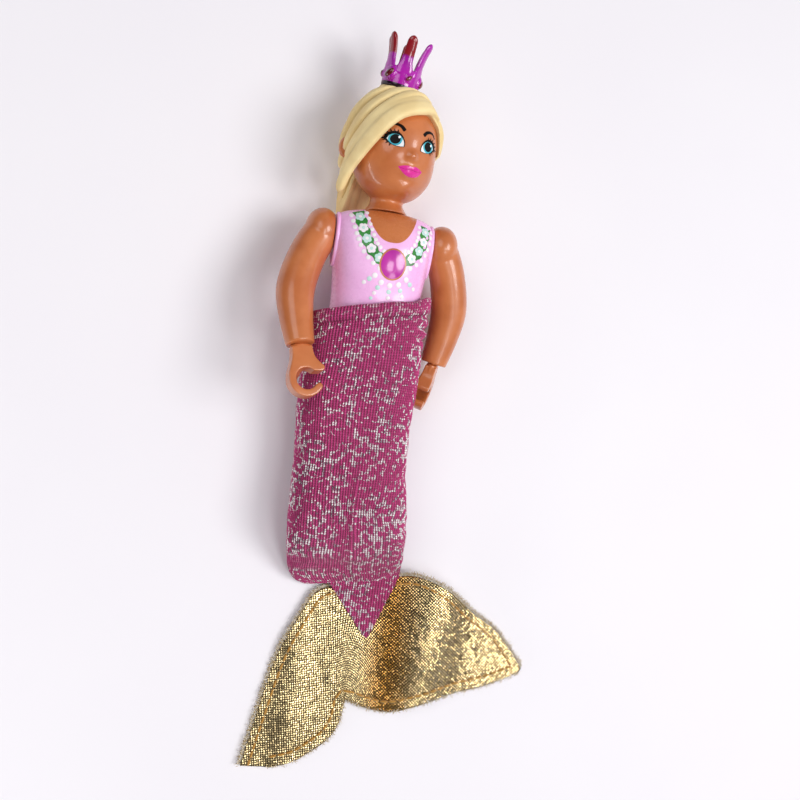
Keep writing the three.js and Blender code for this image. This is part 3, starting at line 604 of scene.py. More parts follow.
def add_disc(bm, on, centre, radii, lift, dome=0.0, cells=8):
    def point(u, v):
        a = 2 * u - 1
        b = 2 * v - 1
        reach = max(abs(a), abs(b))
        angle = math.atan2(b, a)
        x = centre[0] + radii[0] * reach * math.cos(angle)
        y = centre[1] + radii[1] * reach * math.sin(angle)
        return on(x, y, lift + dome * (1 - reach * reach))

    add_grid(bm, cells, cells, point)


def add_ribbon(bm, on, line, width, lift, steps):
    """A flat ribbon along a plan line; width(t) is its full width."""

    def point(u, v):
        along = line(min(v + 0.01, 1)) - line(max(v - 0.01, 0))
        across = Vector((-along.y, along.x)).normalized()
        place = line(v) + across * (width(v) * (u - 0.5))
        return on(place.x, place.y, lift)

    add_grid(bm, 2, steps, point)


def add_patch(bm, on, lower, upper, lift, columns, rows):
    def point(u, v):
        place = lower(u).lerp(upper(u), v)
        return on(place.x, place.y, lift)

    add_grid(bm, columns, rows, point)


# Material helpers

def paint(red, green, blue):
    """A screen colour as a scene colour."""

    def linear(value):
        share = value / 255
        return share / 12.92 if share <= 0.04045 else ((share + 0.055) / 1.055) ** 2.4

    return (linear(red), linear(green), linear(blue), 1.0)


def feed(tree, socket, value):
    """Links another node's socket, or sets a plain value."""
    if isinstance(value, bpy.types.NodeSocket):
        tree.links.new(value, socket)
    else:
        socket.default_value = value


def add_node(tree, kind, inputs=None, **settings):
    made = tree.nodes.new(kind)
    for name, value in settings.items():
        setattr(made, name, value)
    for key, value in (inputs or {}).items():
        feed(tree, made.inputs[key], value)
    return made


def maths(tree, operation, *values):
    return add_node(tree, "ShaderNodeMath", dict(enumerate(values)), operation=operation).outputs[0]


def vector_maths(tree, operation, *values):
    made = add_node(tree, "ShaderNodeVectorMath", dict(enumerate(values)), operation=operation)
    return made.outputs["Value" if operation == "DOT_PRODUCT" else "Vector"]


def vector_scaled(tree, vector, amount):
    inputs = {0: vector, "Scale": amount}
    return add_node(tree, "ShaderNodeVectorMath", inputs, operation="SCALE").outputs["Vector"]


def parts_of(tree, vector):
    return add_node(tree, "ShaderNodeSeparateXYZ", {0: vector}).outputs


def flat_vector(tree, across, along):
    return add_node(tree, "ShaderNodeCombineXYZ", {0: across, 1: along}).outputs[0]


def clouds(tree, place, scale, detail, roughness=0.5, **settings):
    inputs = {"Vector": place, "Scale": scale, "Detail": detail, "Roughness": roughness}
    return add_node(tree, "ShaderNodeTexNoise", inputs, **settings).outputs[0]


def cell_noise(tree, across, along):
    """A random value and colour for each whole step across and along."""
    cell = flat_vector(tree, maths(tree, "FLOOR", across), maths(tree, "FLOOR", along))
    return add_node(tree, "ShaderNodeTexWhiteNoise", {"Vector": cell}, noise_dimensions="2D").outputs


def tilt(tree, colour, amount):
    """A random colour as a sideways push on a normal."""
    return vector_scaled(tree, vector_maths(tree, "SUBTRACT", colour, (0.5, 0.5, 0.5)), amount)


def tilted(tree, normal, push):
    return vector_maths(tree, "NORMALIZE", vector_maths(tree, "ADD", push, normal))


def blended(tree, share, first, second):
    return add_node(tree, "ShaderNodeMix", {0: share, 6: first, 7: second}, data_type="RGBA").outputs[2]


def ranged(tree, value, low, high, to_low=0.0, to_high=1.0):
    inputs = {"Value": value, "From Min": low, "From Max": high, "To Min": to_low, "To Max": to_high}
    return add_node(tree, "ShaderNodeMapRange", inputs, interpolation_type="SMOOTHSTEP").outputs[0]


def new_material(name):
    made = bpy.data.materials.new(name)
    made.use_nodes = True
    tree = made.node_tree
    return made, tree, tree.nodes["Principled BSDF"]


def in_millimetres(tree):
    return vector_scaled(tree, add_node(tree, "ShaderNodeTexCoord").outputs["Object"], 1 / MM)


def on_cloth_map(tree):
    return add_node(tree, "ShaderNodeUVMap", uv_map="UVMap").outputs[0]


def set_shader(tree, shader, **values):
    for name, value in values.items():
        feed(tree, shader.inputs[name.replace("_", " ").title().replace("Ior", "IOR")], value)


def bumped(tree, height, strength, distance):
    inputs = {"Height": height, "Strength": strength, "Distance": distance * MM}
    return add_node(tree, "ShaderNodeBump", inputs).outputs[0]


def new_group(name, inputs, outputs):
    group = bpy.data.node_groups.new(name, "ShaderNodeTree")
    for socket, kind in inputs:
        group.interface.new_socket(socket, in_out="INPUT", socket_type=kind)
    for socket, kind in outputs:
        group.interface.new_socket(socket, in_out="OUTPUT", socket_type=kind)
    return group, group.nodes.new("NodeGroupInput").outputs, group.nodes.new("NodeGroupOutput").inputs


def use_group(tree, group, inputs):
    return add_node(tree, "ShaderNodeGroup", inputs, node_tree=group).outputs


def moulded_surface():
    """Moulded plastic: a soft change of tone, a fine grain and small scuffs."""
    group, given, put = new_group(
        "moulded_surface",
        [("Place", "NodeSocketVector"), ("Tone", "NodeSocketColor"), ("Deep Tone", "NodeSocketColor"),
         ("Gloss", "NodeSocketFloat")],
        [("Colour", "NodeSocketColor"), ("Roughness", "NodeSocketFloat"), ("Grain", "NodeSocketFloat")],
    )
    mottle = ranged(group, clouds(group, given["Place"], 0.16, 3.0), 0.35, 0.68)
    scuffs = ranged(group, clouds(group, given["Place"], 0.9, 6.0), 0.45, 0.75, -0.03, 0.1)
    group.links.new(blended(group, mottle, given["Tone"], given["Deep Tone"]), put["Colour"])
    group.links.new(maths(group, "ADD", given["Gloss"], scuffs), put["Roughness"])
    group.links.new(clouds(group, given["Place"], 5.0, 4.0), put["Grain"])
    return group


def woven_cloth():
    """Plain weave on a flat place in millimetres: a crown on every float and a gap between the threads."""
    group, given, put = new_group(
        "woven_cloth",
        [("Place", "NodeSocketVector"), ("Pitch", "NodeSocketFloat")],
        [("Height", "NodeSocketFloat"), ("Turn", "NodeSocketVector"), ("Thread", "NodeSocketFloat")],
    )
    parts = parts_of(group, given["Place"])
    warp = maths(group, "DIVIDE", parts[0], given["Pitch"])
    weft = maths(group, "DIVIDE", parts[1], given["Pitch"])
    warp_wave, weft_wave = (
        maths(group, "ABSOLUTE", maths(group, "SINE", maths(group, "MULTIPLY", count, math.pi)))
        for count in (warp, weft)
    )
    cell = maths(group, "ADD", maths(group, "FLOOR", warp), maths(group, "FLOOR", weft))
    over = maths(group, "FLOORED_MODULO", cell, 2.0)
    flat = maths(group, "ADD", maths(group, "MULTIPLY", over, warp_wave),
                 maths(group, "MULTIPLY", maths(group, "SUBTRACT", 1.0, over), weft_wave))
    crown = maths(group, "MULTIPLY", warp_wave, weft_wave)
    spot = cell_noise(group, warp, weft)
    group.links.new(maths(group, "MULTIPLY", crown, maths(group, "ADD", flat, 0.4)), put["Height"])
    group.links.new(spot["Value"], put["Thread"])
    group.links.new(tilt(group, spot["Color"], FLOAT_TURN), put["Turn"])
    return group


MOULDED = moulded_surface()
WEAVE = woven_cloth()

SKIN = paint(206, 121, 68)
SKIN_DEEP = paint(192, 106, 55)
PINK = paint(255, 198, 246)
PINK_DEEP = paint(251, 186, 239)
GRAIN_DEPTH = 0.05


def plastic(tree, place, tone, deep, gloss):
    return use_group(tree, MOULDED, {"Place": place, "Tone": tone, "Deep Tone": deep, "Gloss": gloss})


def moulded_material(name, tone, deep, gloss, grain=0.04, **shader_values):
    made, tree, shader = new_material(name)
    surface = plastic(tree, in_millimetres(tree), tone, deep, gloss)
    set_shader(tree, shader, base_color=surface["Colour"], roughness=surface["Roughness"],
               normal=bumped(tree, surface["Grain"], grain, GRAIN_DEPTH), **shader_values)
    return made


def top_material():
    """Pink moulding with the neckline's bare skin printed inside the scoop."""
    made, tree, shader = new_material("pink_top")
    place = in_millimetres(tree)
    parts = parts_of(tree, place)
    across = maths(tree, "DIVIDE", maths(tree, "SUBTRACT", parts[0], SCOOP_X), SCOOP_HALF_WIDTH)
    rise = maths(tree, "POWER", maths(tree, "ABSOLUTE", across), SCOOP_POWER)
    edge = maths(tree, "MULTIPLY_ADD", rise, SCOOP_RISE, SCOOP_Y)
    inside = ranged(tree, maths(tree, "SUBTRACT", parts[1], edge), -SCOOP_SOFT, SCOOP_SOFT)
    front = ranged(tree, parts[2], NECK.z - 0.2, NECK.z + 0.2)
    bare = maths(tree, "MULTIPLY", inside, front)
    pink = plastic(tree, place, PINK, PINK_DEEP, 0.3)
    tan = plastic(tree, place, SKIN, SKIN_DEEP, 0.33)
    set_shader(tree, shader, base_color=blended(tree, bare, pink["Colour"], tan["Colour"]),
               roughness=pink["Roughness"], normal=bumped(tree, pink["Grain"], 0.03, GRAIN_DEPTH),
               coat_weight=0.5, coat_roughness=0.1)
    return made


def hair_material():
    """Matte blonde plastic with painted shade down in the grooves."""
    made, tree, shader = new_material("blonde_hair")
    groove_shade = add_node(tree, "ShaderNodeAttribute", attribute_name="groove_shade").outputs["Fac"]
    # painted shade: the grooves are darkened by how deep they lie
    shade = ranged(tree, groove_shade, 0.05, 1.0, 0.0, 0.62)
    surface = plastic(tree, in_millimetres(tree), paint(250, 226, 168), paint(240, 212, 152), 0.55)
    set_shader(tree, shader, base_color=blended(tree, shade, surface["Colour"], paint(158, 122, 66)),
               roughness=surface["Roughness"], normal=bumped(tree, surface["Grain"], 0.1, GRAIN_DEPTH),
               specular_ior_level=0.3)
    return made


def crown_material():
    """Glossy purple plastic with painted shade at the foot rim, near black for its shadowed underside, and
    red prong tips save at the doll's left.
    """
    made, tree, shader = new_material("purple_crown")
    place = in_millimetres(tree)
    seat = HEAD_PLACE @ CROWN_SEAT
    from_foot = vector_maths(tree, "SUBTRACT", place, seat @ Vector((0, CROWN_GAP, 0)))
    up = vector_maths(tree, "DOT_PRODUCT", from_foot, seat.to_3x3() @ Vector((0, 1, 0)))
    tip_foot = CROWN_HEIGHT - CROWN_TIP
    tip = ranged(tree, up, tip_foot - TIP_SOFT, tip_foot + TIP_SOFT)
    red_side = ranged(tree, parts_of(tree, place)[0], RED_SIDE_X, RED_SIDE_X + RED_SIDE_SOFT, 1.0, 0.0)
    # painted shade: the foot rim is made near black and less glossy, standing in for the shadowed underside
    # of the crown
    rim = ranged(tree, up, CROWN_RIM_SHADE_HEIGHT - 0.06, CROWN_RIM_SHADE_HEIGHT + 0.06, 1.0, 0.0)
    surface = plastic(tree, place, paint(178, 14, 172), paint(150, 8, 148), 0.16)
    colour = blended(tree, maths(tree, "MULTIPLY", tip, red_side), surface["Colour"], paint(142, 12, 28))
    colour = blended(tree, rim, colour, paint(30, 6, 30))
    set_shader(tree, shader, base_color=colour, roughness=surface["Roughness"],
               normal=bumped(tree, surface["Grain"], 0.03, GRAIN_DEPTH),
               coat_weight=maths(tree, "MULTIPLY_ADD", rim, -0.6, 0.6), coat_roughness=0.06)
    return made


def foil_film(tree, flat, height, flecks, stitch):
    """Where the foil is still on: a net round bare spots, worn off in flecks and stitch by stitch."""
    spots = add_node(tree, "ShaderNodeTexVoronoi", {"Vector": flat, "Scale": 0.54, "Randomness": 0.7},
                     voronoi_dimensions="2D").outputs["Distance"]
    patches = clouds(tree, flat, 0.11, 2.0, noise_dimensions="2D")
    wear = maths(tree, "ADD", ranged(tree, height, *WORN_HEIGHTS, 0.39, 0.46),
                 ranged(tree, patches, 0.35, 0.65, -0.07, 0.1))
    wear = maths(tree, "MULTIPLY_ADD", stitch, 0.08, wear)
    kept = ranged(tree, maths(tree, "SUBTRACT", flecks, wear), 0.0, 0.03)
    return maths(tree, "MULTIPLY", ranged(tree, spots, 0.34, 0.4), kept)


def bare_hem_and_fold_shade(tree, wale, height):
    """Where the knit is left without foil: over the ankle fold as painted shade in the crease and, in part,
    at the hem, which was never printed.
    """
    # painted shade: foil left off across the top of the ankle fold so it reads dark
    fold_shade = ranged(tree, height, *FOLD_SHADE_BOTTOM)
    fold_shade = maths(tree, "MULTIPLY", fold_shade, ranged(tree, height, *FOLD_SHADE_TOP, 1.0, 0.0))
    fold_shade = maths(tree, "MULTIPLY", fold_shade, ranged(tree, wale, 0.42 * WALES, 0.58 * WALES, 0.0, 0.9))
    return maths(tree, "MAXIMUM", fold_shade, ranged(tree, height, *HEM_BARE, 0.0, 0.5))


def knit_material():
    """Magenta rib knit, printed with a worn foil film that leaves round spots bare; painted shade in the
    rib gaps, under the hem roll and over the ankle fold, a painted highlight over the loops, and painted
    glints on the foil flakes that are not metal.
    """
    made, tree, shader = new_material("foil_knit")
    parts = parts_of(tree, on_cloth_map(tree))
    wale = parts[0]
    height = parts[1]
    crest = maths(tree, "MULTIPLY_ADD", maths(tree, "COSINE", maths(tree, "MULTIPLY", wale, TAU)), 0.5, 0.5)
    course = maths(tree, "DIVIDE", height, COURSE)
    loop = maths(tree, "ABSOLUTE", maths(tree, "SINE", maths(tree, "MULTIPLY_ADD", course, math.pi, crest)))
    stitch = cell_noise(tree, wale, course)
    flat = flat_vector(tree, maths(tree, "MULTIPLY", wale, WALE_PITCH), height)
    flecks = clouds(tree, flat, 0.75, 3.0, 0.6, noise_dimensions="2D")
    film = foil_film(tree, flat, height, flecks, stitch["Value"])
    film = maths(tree, "MULTIPLY", film, maths(tree, "SUBTRACT", 1.0, bare_hem_and_fold_shade(tree, wale, height)))
    dot = maths(tree, "MULTIPLY", crest, maths(tree, "MULTIPLY_ADD", loop, 0.85, 0.15))
    foil = maths(tree, "MULTIPLY", film, ranged(tree, dot, 0.18, 0.36))
    # painted glint: flakes that are not metal are painted near white as if catching the light; the metal
    # ones are grey and glint by their tilt
    metal_not_painted_glint = ranged(tree, stitch["Value"], 0.55, 0.8)
    flake_with_painted_glint = blended(tree, metal_not_painted_glint, paint(255, 254, 253), paint(156, 148, 158))
    # painted shade and highlight: the yarn darkens in the gaps between ribs and lightens over the loops,
    # for the shade and light of the knit's relief; the stitch-by-stitch tone below is the yarn's own
    yarn_with_painted_shade = blended(tree, ranged(tree, crest, 0.1, 0.75), paint(86, 10, 46), paint(196, 44, 118))
    yarn_with_painted_shade = blended(tree, maths(tree, "MULTIPLY", loop, 0.36), yarn_with_painted_shade, paint(228, 100, 164))
    yarn_with_painted_shade = blended(tree, maths(tree, "MULTIPLY", stitch["Value"], 0.4), yarn_with_painted_shade, paint(122, 18, 64))
    # painted shade: a dark wavy line just under the rolled hem, for the shadow beneath the roll
    wander = maths(tree, "MULTIPLY_ADD", flecks, -1.4, height)
    roll_shade_offset = maths(tree, "ABSOLUTE", maths(tree, "SUBTRACT", wander, HEM_ROLL_SHADE_HEIGHT - 0.7))
    yarn_with_painted_shade = blended(tree, ranged(tree, roll_shade_offset, 0.1, 0.55, 0.45, 0.0), yarn_with_painted_shade, paint(96, 12, 52))
    relief = maths(tree, "MULTIPLY_ADD", foil, 0.3, maths(tree, "MULTIPLY", crest, loop))
    push = tilt(tree, stitch["Color"], maths(tree, "MULTIPLY", foil, FLAKE_TURN))
    set_shader(tree, shader, base_color=blended(tree, foil, yarn_with_painted_shade, flake_with_painted_glint),
               metallic=maths(tree, "MULTIPLY", foil, ranged(tree, metal_not_painted_glint, 0.0, 1.0, 0.05, 0.9)),
               roughness=maths(tree, "MULTIPLY_ADD", foil, -0.5, 0.8),
               normal=tilted(tree, bumped(tree, relief, 0.8, 0.16), push),
               sheen_weight=0.08, sheen_roughness=0.5)
    return made


def gold_material(name, pale, deep, valley_shade_tone, metal):
    """Woven metal thread: pale floats over deep gaps that are partly painted shade, some floats painted
    dark as reflections of a dim room, each float turned its own way, and painted amber shade in the valley.
    """
    made, tree, shader = new_material(name)
    place = on_cloth_map(tree)
    weave = use_group(tree, WEAVE, {"Place": place, "Pitch": WEAVE_PITCH})
    # partly painted shade: the gaps between floats take the deep tone, partly the cloth's backing and
    # partly shade between the threads
    crown = ranged(tree, weave["Height"], 0.1, 0.5)
    dents = clouds(tree, place, 0.6, 3.0)
    # painted reflection: floats turned deep at random, as if they reflected a dim room
    glint = maths(tree, "MULTIPLY_ADD", weave["Thread"], 0.6, maths(tree, "MULTIPLY", dents, 0.4))
    colour = blended(tree, crown, deep, pale)
    colour = blended(tree, ranged(tree, glint, 0.5, 0.85, 0.0, 0.55), colour, deep)
    # painted shade: the cloth darkens to amber along the valley beside the ridge
    across = parts_of(tree, in_millimetres(tree))[0]
    off_valley_shade = maths(tree, "ABSOLUTE", maths(tree, "SUBTRACT", across, VALLEY_SHADE_X))
    valley_shade = ranged(tree, off_valley_shade, 0.0, VALLEY_SHADE_HALF_WIDTH, VALLEY_SHADE_SHARE, 0.0)
    colour = blended(tree, valley_shade, colour, blended(tree, crown, deep, valley_shade_tone))
    set_shader(tree, shader, base_color=colour, metallic=metal,
               roughness=maths(tree, "MULTIPLY_ADD", weave["Thread"], 0.16, 0.12),
               normal=tilted(tree, bumped(tree, weave["Height"], 0.6, 0.06), weave["Turn"]))
    return made


def thread_material(name, tone, deep, gloss=0.55):
    made, tree, shader = new_material(name)
    strand = clouds(tree, in_millimetres(tree), 3.0, 3.0)
    set_shader(tree, shader, base_color=blended(tree, strand, tone, deep), roughness=gloss,
               normal=bumped(tree, strand, 0.4, 0.06), sheen_weight=0.3)
    return made


skin = moulded_material("doll_skin", SKIN, SKIN_DEEP, 0.36, coat_weight=0.55, coat_roughness=0.12)
top = top_material()
blonde = hair_material()
purple = crown_material()
knit = knit_material()
gold = gold_material("gold_cloth", paint(255, 230, 172), paint(62, 38, 14), paint(226, 156, 52), 0.95)
lining = gold_material("cloth_lining", paint(246, 242, 234), paint(206, 196, 178), paint(244, 238, 226),
                       0.0)
gold_thread = thread_material("gold_thread", paint(204, 152, 54), paint(164, 110, 32))
gold_fray = thread_material("gold_fray", paint(226, 196, 130), paint(132, 98, 48), 0.4)
fray_thread = thread_material("frayed_thread", paint(252, 248, 240), paint(226, 214, 190), 0.8)
inner_plastic = moulded_material("inner_plastic", paint(228, 224, 214), paint(214, 208, 196), 0.45)
pin_steel = moulded_material("pin_steel", paint(190, 190, 194), paint(168, 168, 172), 0.3, metallic=1.0)
eye_white = moulded_material("eye_white_print", paint(250, 250, 250), paint(240, 243, 246), 0.3)
eye_blue = moulded_material("eye_blue_print", paint(92, 196, 212), paint(66, 172, 194), 0.45,
                            specular_ior_level=0.2)
ink_black = moulded_material("black_print", paint(10, 8, 10), paint(16, 12, 15), 0.5,
                             specular_ior_level=0.15)
lip_pink = moulded_material("lip_print", paint(228, 44, 156), paint(214, 36, 140), 0.26, coat_weight=0.3)
lip_dark = moulded_material("mouth_print", paint(186, 26, 116), paint(170, 20, 104), 0.3)
leaf_green = moulded_material("leaf_print", paint(58, 148, 62), paint(44, 124, 52), 0.3)
petal_white = moulded_material("petal_print", paint(252, 246, 250), paint(246, 236, 244), 0.3)
petal_mint = moulded_material("mint_print", paint(206, 236, 230), paint(190, 228, 220), 0.3)
gem_magenta = moulded_material("pendant_print", paint(200, 52, 170), paint(180, 40, 156), 0.2,
                               coat_weight=0.5)
gem_red = moulded_material("crown_gem", paint(112, 4, 24), paint(84, 2, 18), 0.1, coat_weight=1.0)
gem_gold = moulded_material("rim_print", paint(206, 132, 74), paint(184, 104, 52), 0.25)


# Torso

torso_at = through(torso_rows)


def torso_point(angle, y, inset=0.0):
    _, middle, half, front, back = torso_at(y)
    up = rounded(math.sin(angle), TORSO_POWER)
    depth = (front if up > 0 else back) - inset
    point = Vector((rounded(math.cos(angle), TORSO_POWER) * (half - inset), y, middle + up * depth))
    shoulder = SHOULDERS["left"]
    off_axis = math.hypot(point.y - shoulder.y, point.z - shoulder.z)
    limit = ARMHOLE_X - inset + 2.0 * ease(off_axis, ARMHOLE_RADIUS - 0.15, ARMHOLE_RADIUS + 0.15)
    point.x = min(max(point.x, -limit), limit)
    return point


def on_chest(x, y, lift):
    """The chest's front at a place in plan, lifted off along its normal."""

    def depth(px, py):
        _, middle, half, front, _ = torso_at(py)
        share = max(1 - min(abs(px) / half, 0.999) ** TORSO_POWER, 0.0)
        return middle + front * share ** (1 / TORSO_POWER)

    step = 0.05
    across = (depth(x + step, y) - depth(x - step, y)) / (2 * step)
    along = (depth(x, y + step) - depth(x, y - step)) / (2 * step)
    normal = Vector((-across, -along, 1)).normalized()
    return Vector((x, y, depth(x, y))) + normal * lift


def torso_shell(name, node, first_angle):
    """One half of the torso, with its wall turned in along the side seam."""
    lip = 0.03

    def point(u, v):
        y = torso_rows[0][0] + (torso_rows[-1][0] - torso_rows[0][0]) * v
        along = min(max((u - lip) / (1 - 2 * lip), 0.0), 1.0)
        inset = TORSO_WALL * max(lip - u, u - 1 + lip, 0.0) / lip
        place = torso_point(first_angle + math.pi * along, y, inset)
        toward = 1 if first_angle == 0 else -1
        place.z += toward * TORSO_SEAM * (hump(along, 0, 0.02) + hump(along, 1, 0.02))
        return place

    bm = bmesh.new()
    add_grid(bm, 96, 90, point)
    bmesh.ops.remove_doubles(bm, verts=bm.verts, dist=1e-4)
    face_away(bm, Vector((0, 16, NECK.z)))
    bmesh.ops.solidify(bm, geom=bm.faces[:], thickness=TORSO_WALL / 2)
    made = finished(name, bm, top)
    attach(made, "torso")
    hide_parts(node)


torso_shell("tank_top_front", "torso_front_shell", 0)
torso_shell("tank_top_back", "torso_back_shell", math.pi)


def strap_lip(word):
    """The rolled edge of the tank top round an arm."""
    way = SIDE[word]

    def line(t):
        angle = TAU * t
        y = (LIP_TOP + LIP_BOTTOM) / 2 + (LIP_TOP - LIP_BOTTOM) / 2 * math.cos(angle)
        _, middle, half, front, back = torso_at(y)
        share = max(1 - (LIP_X / half) ** TORSO_POWER, 0.0) ** (1 / TORSO_POWER)
        depth = front if math.sin(angle) > 0 else -back
        return Vector((way * LIP_X, y, middle + depth * share))

    def section(t, centre):
        return LIP_RADIUS, LIP_RADIUS, Vector((way, 0, 0))

    bm = bmesh.new()
    add_sweep(bm, line, section, 16, 120)
    bmesh.ops.remove_doubles(bm, verts=bm.verts, dist=1e-3)
    bmesh.ops.recalc_face_normals(bm, faces=bm.faces)
    made = finished(f"strap_edge_{word}", bm, top)
    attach(made, "torso")


for side_word in SIDE:
    strap_lip(side_word)


def chest_print(name, bm, material):
    face_away(bm, Vector((0, 16, -40)))
    made = finished(name, bm, material)
    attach(made, "torso")


def garland():
    """A leaf band round the neckline with blossoms, beads along both edges and a plain oval pendant."""
    line = curve(garland_line)
    length = sum((line(i / 100) - line((i - 1) / 100)).length for i in range(1, 101))
    leaves, white, mint, rim, gem = (bmesh.new() for _ in range(5))

    def leaf_width(t):
        return GARLAND_WIDTH * (0.85 + 0.15 * math.cos(TAU * LEAVES * t))

    def add_dot(bm, place, radius, lift, dome):
        add_disc(bm, on_chest, place, (radius, radius), lift * PRINT_LIFT, dome, 6)

    add_ribbon(leaves, on_chest, line, leaf_width, PRINT_LIFT, 160)
    count = round(length / BLOSSOM_SPACING)
    for k in range(count):
        centre = line((k + 0.5) / count)
        petals, heart = (white, mint) if k % 2 else (mint, white)
        for petal in range(PETALS):
            angle = TAU * petal / PETALS + k
            place = centre + Vector((math.cos(angle), math.sin(angle))) * (PETAL_RADIUS * 1.15)
            add_dot(petals, place, PETAL_RADIUS, 2, 0.04)
        add_dot(heart, centre, PETAL_RADIUS * 0.7, 3.5, 0.04)
    beads = round(length / BEAD_SPACING)
    for k in range(beads):
        t = (k + 0.5) / beads
        along = (line(min(t + 0.01, 1)) - line(max(t - 0.01, 0))).normalized()
        across = Vector((-along.y, along.x))
        for way, radius in BEAD_RADII.items():
            add_dot(white, line(t) + across * (way * (GARLAND_WIDTH / 2 + BEAD_GAP)), radius, 2.5, 0.05)
    for k, angle in enumerate(DROP_ANGLES):
        lean = math.radians(angle - 90)
        for bead in range(5 - abs(k - 2)):
            reach = PENDANT_HALF[1] + DROP_START + BEAD_SPACING * bead
            place = (PENDANT[0] + reach * math.cos(lean), PENDANT[1] + reach * math.sin(lean))
            add_dot(mint if bead % 2 else white, place, DROP_RADIUS - DROP_TAPER * bead, 2.5, 0.06)
    chest_print("garland_leaves", leaves, leaf_green)
    chest_print("garland_blossoms", white, petal_white)
    chest_print("garland_mint_blossoms", mint, petal_mint)
    rim_half = [half + PENDANT_RIM for half in PENDANT_HALF]
    add_disc(rim, on_chest, PENDANT, rim_half, 4 * PRINT_LIFT, 0.06, 20)
    add_disc(gem, on_chest, PENDANT, PENDANT_HALF, 6 * PRINT_LIFT, PENDANT_DOME, 20)
    chest_print("pendant_rim", rim, gem_gold)
    chest_print("pendant_gem", gem, gem_magenta)


garland()

# Head and printed face


def tuck(point):
    """Draws in the doll's left of the head, most at the top."""
    high = ease(point.y, 2, 8)
    side = ease(point.x, 4, 9) * (1 - high) * ease(point.y, -8, -3)
    return point - TOP_TUCK * (ease(point.x, 1, 8) * high) - Vector((SIDE_TUCK * side, 0, 0))


def sunk(point, level):
    """Flattens what stands above a level round the crown, easing out into the head."""
    place = SEAT_FROM_HEAD @ point
    far = math.hypot(place.x, place.z)
    high = level - SEAT_FALL * max(far - SEAT_RADIUS, 0)
    if place.y > high and far < SEAT_RADIUS + SEAT_REACH:
        place.y += (high - place.y) * (1 - ease(far, SEAT_RADIUS + SEAT_EDGE, SEAT_RADIUS + SEAT_REACH))
    return SEAT_ON_HEAD @ place


def head_form():
    bm = bmesh.new()
    for vert in add_ball(bm, Vector(), Vector((1, 1, 1)), 128, 96):
        direction = vert.co.copy()
        down = max(0, -direction.y)
        full = 1 + JAW_FULL * (2 * down * direction.x) ** 2
        point = Vector((direction.x * HEAD_RADII.x, direction.y * HEAD_RADII.y, direction.z * HEAD_RADII.z))
        point.x *= full - JAW_TAPER * down ** 2
        point.y = point.y * full - CHIN_DROP * down ** 2
        if point.z > 0:
            for x, y, wide, tall, push in face_bumps:
                point.z += push * math.exp(-(((point.x - x) / wide) ** 2) - ((point.y - y) / tall) ** 2)
        vert.co = tuck(sunk(point, SKULL_LEVEL))
    for centre in EAR_CENTRES:
        add_ball(bm, centre, EAR_RADII, 32, 24)
    foot = -HEAD_CENTRE
    add_rod(bm, foot, foot + Vector((0, NECK_LENGTH, 0)), NECK_BASE, NECK_TOP, 64)
    lap = foot - Vector((0, NECK_LAP, 0))
    flare_top = foot + Vector((0, NECK_FLARE_LENGTH, 0))
    add_rod(bm, lap, flare_top, NECK_FLARE, NECK_BASE - 0.1, 64)
    return fused(bm, HEAD_VOXEL, 4)


def face_print(name, bm, material):
    face_away(bm, Vector((0, 0, -40)))
    made = finished(name, bm, material, FACE_PLACE)
    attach(made, "head")


def add_lash(bm, on, root, lean, length, width, steps, sag=(0, 0)):
    """One lash leaning out of its root and tapering to its tip."""
    tip = root + Vector((math.cos(lean), math.sin(lean))) * length
    line = curve([root, root.lerp(tip, 0.5) + Vector(sag), tip])
    add_ribbon(bm, on, line, lambda t: width * (1 - t) + LASH_TIP, 3.8 * PRINT_LIFT, steps)


